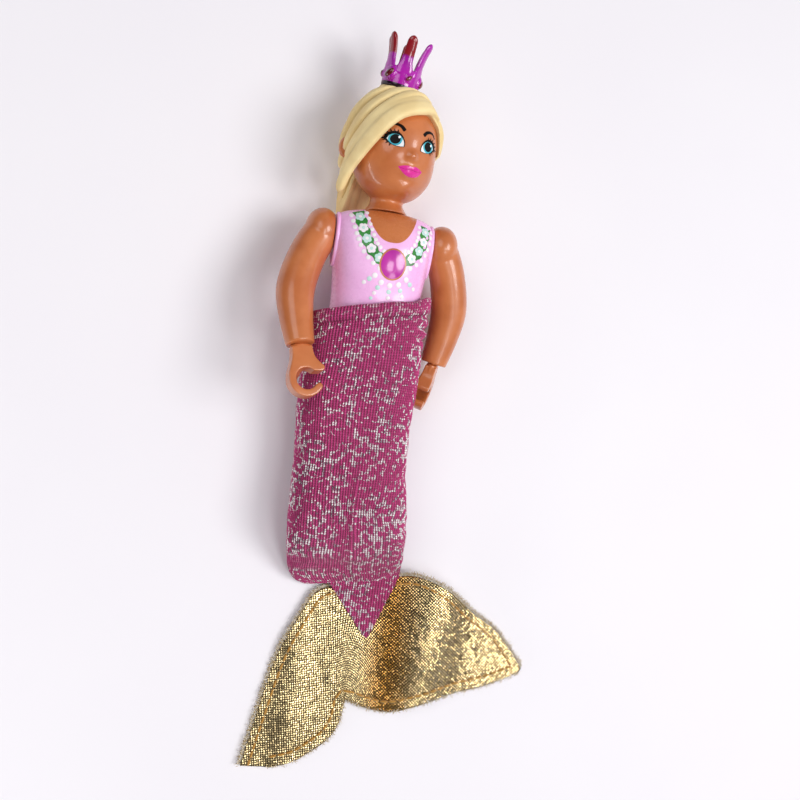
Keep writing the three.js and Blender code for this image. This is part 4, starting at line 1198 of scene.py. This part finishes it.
def head_pieces():
    bm = head_form()
    skull = BVHTree.FromBMesh(bm)

    def on_face(x, y, lift):
        hit, normal, _, _ = skull.ray_cast(Vector((x, y, 40)), Vector((0, 0, -1)))
        return hit + normal * lift

    whites, irises, pupils, glints, lashes = (bmesh.new() for _ in range(5))
    for way in (-1, 1):
        def on_eye(x, y, lift, way=way):
            place = EYE_MIDDLE + Matrix.Rotation(EYE_ROLL, 2) @ Vector((way * (EYE_SPREAD + x), y))
            return on_face(place.x, place.y, lift)

        upper, lower, brow = curve(upper_lid), curve(lower_lid), curve(brow_line)
        add_patch(whites, on_eye, lower, upper, PRINT_LIFT, 28, 14)
        glint = (way * GLINT_PLACE.x, GLINT_PLACE.y)
        add_disc(irises, on_eye, (0, 0), (IRIS_RADIUS, IRIS_RADIUS), 2 * PRINT_LIFT, 0, 16)
        add_disc(pupils, on_eye, (0, 0), (PUPIL_RADIUS, PUPIL_RADIUS), 3 * PRINT_LIFT, 0, 14)
        add_disc(glints, on_eye, glint, (GLINT_RADIUS, GLINT_RADIUS), 4 * PRINT_LIFT, 0, 8)
        add_ribbon(lashes, on_eye, upper, lambda t: 0.16 + 0.44 * ease(t, 0.1, 0.75), 3.5 * PRINT_LIFT, 48)
        add_ribbon(lashes, on_eye, lower, lambda t: 0.08 + 0.3 * ease(t, 0.55, 1), 3.2 * PRINT_LIFT, 32)
        for k in range(UPPER_LASHES):
            lean = math.radians(84 - 15 * k)
            add_lash(lashes, on_eye, upper(0.5 + 0.1 * k), lean, 0.75 + 0.08 * k, 0.34, 6, (0.06, -0.04))
        for k in range(LOWER_LASHES):
            lean = math.radians(-72 + 26 * k)
            add_lash(lashes, on_eye, lower(0.68 + 0.13 * k), lean, 0.6, 0.3, 4)
        add_ribbon(lashes, on_eye, brow, lambda t: (0.82 - 0.5 * t) * min(1, 8 * t + 0.7), PRINT_LIFT, 36)

    def on_mouth(x, y, lift):
        place = MOUTH + Matrix.Rotation(MOUTH_ROLL, 2) @ Vector((x, y))
        return on_face(place.x, place.y, lift)

    def line_width(t):
        return 0.12 * math.sin(math.pi * (0.08 + 0.84 * t))

    lips, line = bmesh.new(), bmesh.new()
    add_patch(lips, on_mouth, curve(lower_lip), curve(upper_lip), PRINT_LIFT, 36, 12)
    add_ribbon(line, on_mouth, curve(mouth_line), line_width, 2 * PRINT_LIFT, 36)
    made = finished("head_moulding", bm, skin, FACE_PLACE)
    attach(made, "head")
    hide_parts("head")
    face_print("eye_whites", whites, eye_white)
    face_print("irises", irises, eye_blue)
    face_print("pupils", pupils, ink_black)
    face_print("eye_glints", glints, eye_white)
    face_print("lashes_and_brows", lashes, ink_black)
    face_print("lips", lips, lip_pink)
    face_print("mouth_line", line, lip_dark)


head_pieces()

# Hair


def face_window():
    """A prism through the hair's front, along the hairline."""
    edge = curve(hairline)
    outline = [Vector((14, -18)), Vector((14, -3))]
    outline += [edge(k / 40) for k in range(41)]
    outline.append(Vector((-9.6, -18)))
    bm = bmesh.new()
    add_slab(bm, outline, 0, 20)
    mesh = bpy.data.meshes.new("face_window")
    bm.to_mesh(mesh)
    bm.free()
    cutter = bpy.data.objects.new("face_window", mesh)
    scene.collection.objects.link(cutter)
    return cutter


def hair_cap():
    bm = bmesh.new()
    add_ball(bm, HAIR_SHIFT, HAIR_RADII, 96, 64)
    cut_flat(bm, (0, HAIR_CAP_DROP, 0), (0, -1, 0), clear_outer=True)
    cutter = face_window()
    cap = carried(bm, ("BOOLEAN", {"operation": "DIFFERENCE", "object": cutter, "solver": "EXACT"}))
    bpy.data.objects.remove(cutter)
    return cap


def add_fall(bm):
    """The flat fall behind the neck, grooved into strands."""
    row_at = through(fall_rows)

    def point(u, v):
        y = fall_rows[0][0] + (fall_rows[-1][0] - fall_rows[0][0]) * v
        _, inner, outer, width = row_at(y)
        outside = u < FALL_OUTSIDE
        place = 2 * u / FALL_OUTSIDE - 1 if outside else 1 - 2 * (u - FALL_OUTSIDE) / (1 - FALL_OUTSIDE)
        swing = place * FALL_STRANDS * math.pi / 2 + 0.5 * math.sin(0.25 * y)
        groove = FALL_GROOVE * (abs(math.sin(swing)) - 1)
        radius = outer + groove if outside else inner - 0.8 * groove
        angle = place * width * HAIR_BACK_SPAN
        return Vector((radius * math.sin(angle), y, -radius * math.cos(angle))) - HEAD_CENTRE

    add_grid(bm, 100, 70, point, wrap=True)


def hair_piece():
    bm = hair_cap()
    for points, widest, lift in zip(swept_locks, lock_widths, lock_lifts):
        raised = [Vector(point) * (1 + lift / Vector(point).length) for point in points]

        def section(t, centre, widest=widest):
            half = widest * (0.35 + 0.65 * ease(t, 0, 0.22)) * (1 - 0.25 * ease(t, 0.6, 1))
            tip = math.sqrt(max(0.03, 1 - max(0, (t - 0.94) / 0.06) ** 2))
            return half * tip, (1.1 - 0.2 * t) * tip, centre

        add_sweep(bm, curve(raised), section, 24, 60, power=3.0)
    add_fall(bm)
    seat_foot = SEAT_ON_HEAD @ Vector((0, -SEAT_DEPTH, 0))
    seat_top = SEAT_ON_HEAD @ Vector((0, CROWN_GAP, 0))
    add_rod(bm, seat_foot, seat_top, SEAT_RADIUS + 1, SEAT_RADIUS, 48)
    close_ends(bm)
    bm = fused(bm, HAIR_VOXEL, 2)
    for vert in bm.verts:
        behind = ease(-vert.co.z, -2, 3) * ease(vert.co.y, -8, -4) * ease(13.2 - vert.co.y, 0.6, 3)
        if behind > 0:
            turn = math.atan2(vert.co.x, -vert.co.z)
            groove = BACK_GROOVE * (1 - abs(math.sin(BACK_GROOVES * turn)))
            vert.co -= vert.co.normalized() * (groove * behind)
        vert.co = sunk(vert.co, HAIR_LEVEL)
        low_side = ease(vert.co.x, 3, 8) * ease(-vert.co.y, 1.6, 4.4)
        vert.co.x *= 1 - 0.05 * ease(vert.co.x, 3, 9) - 0.34 * low_side
        vert.co = tuck(vert.co)
    soften(bm, 1)
    mark_groove_shade(bm, GROOVE_REACH)
    made = finished("swept_hair", bm, blonde, FACE_PLACE)
    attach(made, "head")
    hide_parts("hair")


hair_piece()

# Crown


def crown_piece():
    bm, gems = bmesh.new(), bmesh.new()
    inner = CROWN_RADIUS - CROWN_WALL
    profile = [(inner, CROWN_FLOOR), (inner + CROWN_LEAN, CROWN_BAND),
               (CROWN_RADIUS + CROWN_LEAN, CROWN_BAND), (CROWN_RADIUS + 0.05, 0.4),
               (CROWN_RADIUS - 0.1, 0.0), (0, 0), (0, CROWN_FLOOR)]
    ring = [bm.verts.new((radius, y, 0)) for radius, y in profile]
    edges = [bm.edges.new((a, b)) for a, b in zip(ring, ring[1:] + ring[:1])]
    bmesh.ops.spin(bm, geom=ring + edges, cent=(0, 0, 0), axis=(0, 1, 0), angle=TAU, steps=72,
                   use_merge=True)
    bmesh.ops.remove_doubles(bm, verts=bm.verts, dist=1e-4)
    bmesh.ops.recalc_face_normals(bm, faces=bm.faces)
    add_rod(bm, Vector((0, -CROWN_STUD_LENGTH, 0)), Vector((0, 0.5, 0)), CROWN_STUD, CROWN_STUD, 32)
    for k in range(CROWN_PRONGS):
        turned = Matrix.Rotation(CROWN_TURN + TAU * k / CROWN_PRONGS, 4, "Y")

        def line(t, turned=turned):
            rise = 1.2 * t - 0.2
            radius = CROWN_RADIUS + 0.2 - CROWN_WALL / 2 + CROWN_FLARE * max(rise, 0) ** 2
            return turned @ Vector((0, CROWN_BAND + (CROWN_HEIGHT - CROWN_BAND) * rise, radius))

        def section(t, centre, turned=turned):
            rise = max(1.2 * t - 0.2, 0)
            tip = math.sqrt(max(0.03, 1 - max(0, (rise - 0.8) / 0.2) ** 2))
            foot = 0.4 * (1 - ease(rise, 0, 0.25))
            return (1.4 - 0.3 * rise + foot) * tip, (0.5 + 0.12 * rise) * tip, turned @ Vector((0, 0, 1))

        add_sweep(bm, line, section, 24, 40)
        size = 1.0 if k % 2 else SMALL_BOSS
        on_band = Matrix.Translation((0, CROWN_BOSS_Y, CROWN_RADIUS + 0.1))
        boss = turned @ Matrix.Rotation(BOSS_TURN, 4, "Y") @ on_band
        gem = boss @ Matrix.Translation((0, -0.1, GEM_LIFT * size)) @ Matrix.Rotation(GEM_SLANT, 4, "Z")
        bmesh.ops.transform(bm, matrix=boss, verts=add_ball(bm, Vector(), CROWN_BOSS * size, 24, 16))
        bmesh.ops.transform(gems, matrix=gem, verts=add_ball(gems, Vector(), CROWN_GEM * size, 20, 12))
    close_ends(bm)
    for vert in bm.verts[:] + gems.verts[:]:
        vert.co.x += CROWN_SHIFT * ease(vert.co.y, -1, 0)
    place = HEAD_PLACE @ CROWN_SEAT @ Matrix.Translation((0, CROWN_GAP, 0))
    made = finished("crown_moulding", fused(bm, CROWN_VOXEL, 2), purple, place)
    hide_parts("crown")
    for piece in (made, finished("crown_gems", gems, gem_red, place)):
        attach(piece, "crown")


crown_piece()

# Arms and hands


def arm_place(word):
    return Matrix.Translation(SHOULDERS[word]) @ Matrix.Rotation(-ARM_SWING[word], 4, "X")


def arm_piece(word):
    way = SIDE[word]
    bm = bmesh.new()
    radius_at = through([(k / (len(arm_line) - 1), row[3]) for k, row in enumerate(arm_line)])
    line = curve([(way * x, y, z) for x, y, z, _ in arm_line])

    def section(t, centre):
        radius = radius_at(t)[1]
        return radius, radius * 0.97, Vector((0, 0, 1))

    add_sweep(bm, line, section, 40, 60)
    add_ball(bm, Vector((way * SHOULDER_BALL_X, 0, 0)), SHOULDER_BALL)
    close_ends(bm)
    bm = fused(bm, ARM_VOXEL, 4)
    cut_flat(bm, (0, 0, 0), (way, 0, 0), clear_inner=True)
    made = finished(f"arm_moulding_{word}", bm, skin, arm_place(word))
    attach(made, f"arm_{word}")
    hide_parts(f"arm_{word}")


def arc(centre, radius, start, end, steps):
    points = []
    for k in range(steps + 1):
        angle = start + (end - start) * k / steps
        points.append(Vector((centre[0] + radius * math.cos(angle), centre[1] + radius * math.sin(angle))))
    return points


def hand_outline():
    """The gripping hand in plan: back of the hand, fingers round the grip, then the thumb."""
    pad = (GRIP_OUTER + GRIP_INNER) / 2
    pad_radius = (GRIP_OUTER - GRIP_INNER) / 2
    back = curve([(-2.3, -0.6), (-2.35, -2.2), (-2.9, -4.2), (-3.7, -6.2), (-GRIP_OUTER, GRIP_Y)])
    fingertip = (pad * math.cos(FINGERTIP), GRIP_Y + pad * math.sin(FINGERTIP))
    thumb = curve([(4.05, -5.2), (3.3, -4.3), (2.6, -3.3), (2.35, -2.0), (2.3, -0.6)])
    points = [back(k / 16) for k in range(16)]
    points += arc((0, GRIP_Y), GRIP_OUTER, math.pi, FINGERTIP, 24)
    points += arc(fingertip, pad_radius, FINGERTIP, FINGERTIP + math.pi, 8)[1:-1]
    points += arc((0, GRIP_Y), GRIP_INNER, FINGERTIP, 0.22 * math.pi, 28)
    points += arc((3.6, -5.7), 0.75, 1.5 * math.pi, 2.25 * math.pi, 8)
    points += [thumb(k / 12) for k in range(1, 13)]
    return points


def hand_piece(word):
    way = SIDE[word]
    bm = bmesh.new()
    add_slab(bm, hand_outline(), -HAND_DEPTH / 2, HAND_DEPTH)
    add_rod(bm, Vector((0, -1.5, 0)), Vector((0, WRIST_PIN_LENGTH, 0)), WRIST_PIN, WRIST_PIN, 32)
    add_rod(bm, Vector((0, -2.0, 0)), Vector((0, -0.1, 0)), WRIST_COLLAR, WRIST_COLLAR, 32)
    bm = fused(bm, HAND_VOXEL, 8)
    for vert in bm.verts:
        narrow = HAND_NARROW * (1 - 0.2 * ease(vert.co.y, -5.5, -1.0))
        from_grip = vert.co - Vector((0, GRIP_Y, vert.co.z))
        if abs(from_grip.length - GRIP_INNER) < 0.3 and from_grip.x < 0.6:
            deep = ease(-vert.co.z, -HAND_DEPTH / 2, HAND_DEPTH / 2) * ease(-from_grip.x, -0.6, 1.6)
            vert.co -= from_grip.normalized() * (GRIP_DRAFT * deep)
        vert.co.z *= narrow * (1 - 0.1 * ease(-vert.co.y, 9, 12))
    turned = Matrix.Rotation(math.pi if way > 0 else 0, 4, "Y")
    wrist = Vector((way * arm_line[-1][0], arm_line[-1][1], arm_line[-1][2]))
    place = (arm_place(word) @ Matrix.Translation(wrist) @ Matrix.Rotation(-way * WRIST_LEAN, 4, "Z")
             @ Matrix.Rotation(HAND_TURN[word], 4, "Y") @ turned)
    made = finished(f"hand_moulding_{word}", bm, skin, place)
    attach(made, f"hand_{word}")
    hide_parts(f"hand_{word}")


for side_word in SIDE:
    arm_piece(side_word)
    hand_piece(side_word)

# Tail

tail_at = through(tail_rows)


def tail_point(angle, y, out):
    """A place on the tube; out is the distance off its mean surface."""
    _, centre, half, top_z, under = tail_at(y)
    middle = min((top_z + under) / 2, 10)
    up = rounded(math.sin(angle), TAIL_POWER)
    x = centre + rounded(math.cos(angle), TAIL_POWER) * (half + out)
    z = middle + up * ((top_z - middle if up > 0 else middle - under) + out)
    at_hem = ease(y, HEM_BOTTOM - 14, HEM_BOTTOM) * HEM_SLANT
    at_end = (1 - ease(y, TAIL_END, TAIL_END + 18)) * END_SLANT
    return Vector((x, y + (x - centre) * (at_hem + at_end), max(z, 0.03 + 0.02 * out)))


def even_angles(y, count):
    """Angles that step evenly round the tube, starting underneath."""
    samples = 1440
    angles = [-math.pi / 2 + TAU * k / samples for k in range(samples + 1)]
    places = [tail_point(angle, y, 0) for angle in angles]
    lengths = [0.0]
    for a, b in zip(places, places[1:]):
        lengths.append(lengths[-1] + (b - a).length)
    even = []
    k = 0
    for i in range(count + 1):
        target = lengths[-1] * i / count
        while k < samples - 1 and lengths[k + 1] < target:
            k += 1
        share = (target - lengths[k]) / (lengths[k + 1] - lengths[k])
        even.append(angles[k] + (angles[k + 1] - angles[k]) * min(share, 1))
    return even


RIB_COLUMNS = 4 * WALES
tail_angles = even_angles(-15, RIB_COLUMNS)


def knit_point(u, y, out):
    """The tube's surface with its ribs, slack and creases."""
    angle = tail_angles[round(u * RIB_COLUMNS)]
    rib = RIB_DEPTH * math.cos(TAU * u * WALES)
    base = tail_point(angle, y, 0)
    slack = 0.35 * noise.noise(base / 7) + 0.16 * noise.noise(base / 2.6 + Vector((5, 1, 3)))
    angle += KNIT_TWIST * hump(y, -42, 9) * ease(math.cos(angle), -0.3, 0.7)
    across = math.cos(angle)
    up = math.sin(angle)
    depth, lean, height, spread = ANKLE_CREASE
    press = hump(y + lean * base.x, height, spread)
    crease = -depth * press * ease(up, 0.1, 0.6) * ease(-across, -0.4, 0.3)
    for depth, lean, height, spread, start, end in side_creases:
        press = hump(y + lean * base.x, height, spread)
        crease -= depth * press * ease(base.x, start, end) * ease(up, 0, 0.4)
    gathered = sum(push * hump(base.y, height, spread) for push, height, spread in hem_gathers)
    crease += gathered * ease(across, 0.3, 0.9)
    wave = 0.3 * noise.noise(Vector((base.x / 6, base.z / 6, 4))) + hump(across, 0.95, 0.25)
    place = tail_point(angle, y, out + rib + slack + crease)
    place.y += ease(y, 3.5, 7) * wave
    return place


def knit_piece(name, rows, row_at, nodes):
    """A length of the tube; row_at(v) gives the height and the distance out."""
    bm = bmesh.new()

    def point(u, v):
        y, out = row_at(v)
        return knit_point(u, y, out)

    def mapped(u, v):
        return u * WALES, row_at(v)[0]

    add_grid(bm, RIB_COLUMNS, rows, point, wrap=True, mapped=mapped)
    face_away(bm, Vector((0, 0, 9)))
    made = finished(name, bm, knit)
    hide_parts(*nodes)
    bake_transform(made)


hem_line = curve(hem_roll)


def upper_row(v):
    if v < HEM_SHARE:
        return hem_line(v / HEM_SHARE)
    share = (v - HEM_SHARE) / (1 - HEM_SHARE)
    return hem_roll[-1][0] + (UPPER_END - hem_roll[-1][0]) * share, 0.0


def lower_row(v):
    y = UPPER_END + (KNIT_END - UPPER_END) * v
    return y, 0.0


knit_piece("tail_knit_upper", 50, upper_row, ["tail_hem", "tail_sleeve_upper"])
knit_piece("tail_knit_lower", 80, lower_row, ["tail_sleeve_lower"])

# Fin


def fin_curve(points):
    return curve([(END_SEAM.x + across * FIN_SPAN, TAIL_END - down * FIN_DROP) for across, down in points])


lead_left, lead_right = fin_curve(leading_left), fin_curve(leading_right)
trail_left, trail_right = fin_curve(trailing_left), fin_curve(trailing_right)


def fin_height(x, y):
    down = (TAIL_END - y) / FIN_DROP
    across = x - RIDGE_X - RIDGE_LEAN * down * FIN_DROP
    ridge = math.exp(-(across / (RIDGE_SLOPE if across < 0 else RIDGE_HALF_WIDTH)) ** 2)
    fade = 1 - ease(down, 0.3, 0.92) * 0.5
    ripple = 0.7 * hump(x, -8, 4)
    place = Vector((x, y, 0))
    slack = 0.3 * noise.noise(place / 8) + 0.12 * noise.noise(place / 2.5)
    return max(FIN_MIDDLE + RIDGE_HEIGHT * fade * ridge + ripple + slack, 0.45)


def fin_plan(u, v, lead_inset):
    left = u < 0.5
    t = 2 * u if left else 2 * u - 1
    lead = (lead_left if left else lead_right)(t)
    trail = (trail_left if left else trail_right)(t)
    span = (trail - lead).length
    first = lead_inset / max(span, lead_inset * 2)
    return lead.lerp(trail, first + (1 - first) * v)


def fin_weave(u, v, lead_inset):
    """Thread directions: near upright on the lobe seen at the left, slanting on the other."""
    place = fin_plan(u, v, lead_inset) - WEAVE_PIVOT
    slant = math.radians(-8 + 48 * ease(u, 0.42, 0.6))
    return Matrix.Rotation(slant, 2) @ place


def fin_ply(name, node, offset, lead_inset, material):
    bm = bmesh.new()

    def point(u, v):
        place = fin_plan(u, v, lead_inset)
        return Vector((place.x, place.y, fin_height(place.x, place.y) + offset))

    add_grid(bm, 200, 70, point, mapped=lambda u, v: fin_weave(u, v, lead_inset))
    face_away(bm, Vector((10, -80, -300)))
    area = sum(face.calc_area() * abs(face.normal.z) for face in bm.faces) * MM * MM
    bmesh.ops.solidify(bm, geom=bm.faces[:], thickness=FIN_PLY)
    surface = BVHTree.FromBMesh(bm)
    made = finished(name, bm, material)
    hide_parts(node)
    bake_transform(made)
    return surface


def fin_dress(name, bm, material):
    made = finished(name, bm, material)
    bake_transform(made)


def fin_outline(steps):
    shares = [k / steps for k in range(steps)]
    points = [lead_left(share) for share in shares] + [lead_right(share) for share in shares]
    points += [trail_right(1 - share) for share in shares] + [trail_left(1 - share) for share in shares]
    points.append(trail_left(0))
    return points


def inward_of(points, k):
    """The inward direction of a closed outline that runs clockwise seen from above."""
    along = points[(k + 1) % len(points)] - points[k - 1]
    return Vector((along.y, -along.x)).normalized()


def end_seam(x):
    """How far up the slanting end seam lies at a place across."""
    return TAIL_END + (x - END_CENTRE_X) * END_SLANT


def under_tube(place):
    return place.y > end_seam(place.x) - 0.6 and -12 < place.x < 14.6


def topstitch(cloth):
    """Short thread stitches round the fin, a little inside its edge."""

    def on_cloth(place, lift):
        hit = cloth.ray_cast(Vector((place.x, place.y, 40)), Vector((0, 0, -1)))[0]
        return (hit or Vector((place.x, place.y, fin_height(place.x, place.y)))) + Vector((0, 0, lift))

    outline = fin_outline(160)
    run = []
    for k, place in enumerate(outline):
        inner = place + inward_of(outline, k) * STITCH_INSET
        if min((inner - other).length for other in outline) > STITCH_INSET * 0.94 and not under_tube(inner):
            run.append(inner)
    bm = bmesh.new()
    walked = 0.0
    start = run[0]
    for a, b in zip(run, run[1:]):
        if (b - a).length > 4:
            walked, start = 0.0, b
            continue
        walked += (b - a).length
        if walked < STITCH_LENGTH:
            continue
        first, last = start, b

        def line(t, first=first, last=last):
            return on_cloth(first.lerp(last, t), 0.12 - 0.2 * (2 * t - 1) ** 4)

        def section(t, centre):
            radius = STITCH_RADIUS * math.sqrt(max(0.1, 1 - (2 * t - 1) ** 4))
            return radius, radius, Vector((0, 0, 1))

        add_sweep(bm, line, section, 6, 6)
        walked = -STITCH_GAP
        start = b + (b - a).normalized() * STITCH_GAP
    close_ends(bm)
    fin_dress("fin_topstitch", bm, gold_thread)


def fray_section(t, centre):
    return FRAY_RADIUS, FRAY_RADIUS, Vector((0.1, 0.1, 1))


def frayed_edge(name, material, spacing, spread, longest):
    """Loose threads along the raw edges of the plies; spread is how far inside the edge they start."""
    outline = fin_outline(300)
    bm = bmesh.new()
    walked = 0.0
    for k in range(1, len(outline)):
        walked += (outline[k] - outline[k - 1]).length
        while walked > spacing:
            walked -= spacing
            outward = -inward_of(outline, k)
            foot = outline[k] - outward * chance.uniform(0.1, spread)
            if under_tube(foot):
                continue
            way = Matrix.Rotation(chance.uniform(-0.9, 0.9), 2) @ outward
            length = chance.uniform(0.35, 1) ** 2 * longest + 0.3
            curl = chance.uniform(-0.25, 0.3)
            height = fin_height(foot.x, foot.y) + chance.uniform(-0.1, 0.75)
            root = Vector((foot.x, foot.y, max(height, THREAD_LOW)))
            reach = Vector((way.x, way.y, 0)) * length
            bend = root + reach * 0.55 + Vector((0, 0, 0.3 * curl))
            tip = root + reach + Vector((0.3 * curl, 0.2 * curl, curl - 0.1))
            bend.z = max(bend.z, THREAD_LOW)
            tip.z = max(tip.z, THREAD_LOW)
            add_sweep(bm, curve([root, bend, tip]), fray_section, 3, 3)
    close_ends(bm)
    fin_dress(name, bm, material)


def tube_top(x, y):
    """Height of the tube's upper side over a place in plan."""
    _, centre, half, top_z, under = tail_at(y)
    middle = min((top_z + under) / 2, 10)
    share = min(abs(x - centre) / half, 1.0)
    return middle + (top_z - middle) * (1 - share ** TAIL_POWER) ** (1 / TAIL_POWER)


def front_point():
    """The tail's knit running down to a point over the fin, its ribs cut off along both edges."""

    def edge(u):
        tip_share = 0.5 + POINT_SWAY / POINT_WIDTH
        reach = u / tip_share if u < tip_share else (1 - u) / (1 - tip_share)
        return reach - 0.04 * math.exp(-(((reach - 1) / 0.05) ** 2))

    def plan(u, v):
        x = POINT_CENTRE_X + POINT_WIDTH * (u - 0.5)
        tip_y = TAIL_END - POINT_LENGTH
        low = end_seam(x) + (tip_y - end_seam(POINT_CENTRE_X + POINT_SWAY)) * edge(u)
        return Vector((x, end_seam(x) + POINT_LAP)).lerp(Vector((x, low)), v)

    def point(u, v):
        place = plan(u, v)
        lap = fin_height(place.x, place.y) + FIN_MIDDLE + 0.3
        down = end_seam(place.x) - place.y
        share = ease(down, -POINT_LAP, 3.5)
        on_tube = tube_top(place.x, KNIT_END - min(down, 0)) + 0.25
        z = on_tube * (1 - share) + lap * share + 0.4 * hump(down, 1.0, 2.5)
        return Vector((place.x, place.y, z + RIB_DEPTH * math.cos(TAU * POINT_WALES * u)))

    bm = bmesh.new()
    add_grid(bm, 4 * POINT_WALES, 44, point, mapped=lambda u, v: (POINT_WALES * u, plan(u, v).y))
    face_away(bm, Vector((8, -64, -200)))
    area = sum(face.calc_area() for face in bm.faces) * MM * MM
    bmesh.ops.solidify(bm, geom=bm.faces[:], thickness=POINT_CLOTH)
    made = finished("tail_knit_point", bm, knit)
    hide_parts("tail_front_point")
    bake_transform(made)


gold_surface = fin_ply("fin_gold_ply", "fin_front_ply", GOLD_LIFT, FIN_LINING_SHOW, gold)
fin_ply("fin_lining_ply", "fin_back_ply", LINING_LIFT, 0.0, lining)
topstitch(gold_surface)
frayed_edge("fin_fray_white", fray_thread, 0.22, 0.8, 1.1)
frayed_edge("fin_fray_gold", gold_fray, 0.16, 0.6, 0.7)
front_point()

# Inner pieces that keep their solids

inner_pieces = {
    "hip_block": inner_plastic,
    "hip_axle": pin_steel,
    "thigh_right": skin,
    "thigh_left": skin,
    "shin_right": skin,
    "shin_left": skin,
    "knee_pin_right": pin_steel,
    "knee_pin_left": pin_steel,
}
for node, material in inner_pieces.items():
    solid = bpy.data.objects[node]
    solid.data.materials.clear()
    solid.data.materials.append(material)

# Table, light and camera


def table_piece():
    made, tree, shader = new_material("table_white")
    cloud = clouds(tree, in_millimetres(tree), 0.02, 2.0)
    tone = blended(tree, cloud, paint(246, 242, 248), paint(250, 247, 251))
    set_shader(tree, shader, base_color=tone, roughness=0.9)
    bm = bmesh.new()
    bmesh.ops.create_grid(bm, x_segments=8, y_segments=8, size=TABLE_HALF)
    finished("table", bm, made)


def area_light(name, place, aim, size, power, tall=None):
    """A round light, or a level strip where its height is given."""
    data = bpy.data.lights.new(name, "AREA")
    data.shape = "RECTANGLE" if tall else "DISK"
    data.size = size * MM
    data.size_y = (tall or size) * MM
    data.energy = power
    made = bpy.data.objects.new(name, data)
    made.location = place * MM
    made.rotation_euler = (aim - place).to_track_quat("-Z", "Y").to_euler()
    scene.collection.objects.link(made)


def camera():
    data = bpy.data.cameras.new("camera")
    data.sensor_width = SENSOR
    data.lens = CAMERA_FOCUS_PX / FRAME_PX * SENSOR
    data.clip_start = 0.01
    made = bpy.data.objects.new("camera", data)
    turn = Matrix((CAMERA_RIGHT, CAMERA_UP, -CAMERA_AHEAD)).transposed().to_4x4()
    made.matrix_world = Matrix.Translation(CAMERA_PLACE * MM) @ turn
    scene.collection.objects.link(made)
    scene.camera = made


def room():
    """Soft light from all round, brighter from the doll's left and feet."""
    world = bpy.data.worlds.new("room")
    world.use_nodes = True
    tree = world.node_tree
    way = add_node(tree, "ShaderNodeTexCoord").outputs["Generated"]
    side = vector_maths(tree, "DOT_PRODUCT", way, ROOM_BRIGHT_SIDE)
    strength = ranged(tree, side, -0.7, 0.7, ROOM_DIM, ROOM_BRIGHT)
    background = tree.nodes["Background"]
    background.inputs["Color"].default_value = (0.98, 0.97, 1.0, 1.0)
    tree.links.new(strength, background.inputs["Strength"])
    scene.world = world


table_piece()
camera()
room()
body_middle = Vector((5, -20, 5))
area_light("key", Vector((420, -10, 560)), body_middle, size=330, power=2.45)
area_light("fill", Vector((-240, 120, 380)), body_middle, size=300, power=0.5)
area_light("chest_lamp", Vector((80, -85, 396)), Vector((0, 15, 20)), size=110, power=0.2)
area_light("lobe_lamp", Vector((160, -232, 385)), Vector((-20, -75, 0)), size=130, power=0.19)
area_light("low_window", Vector((-193, -140, 45)), Vector((0, 37, 21)), size=254, power=0.1, tall=12)
scene.view_settings.view_transform = "Standard"
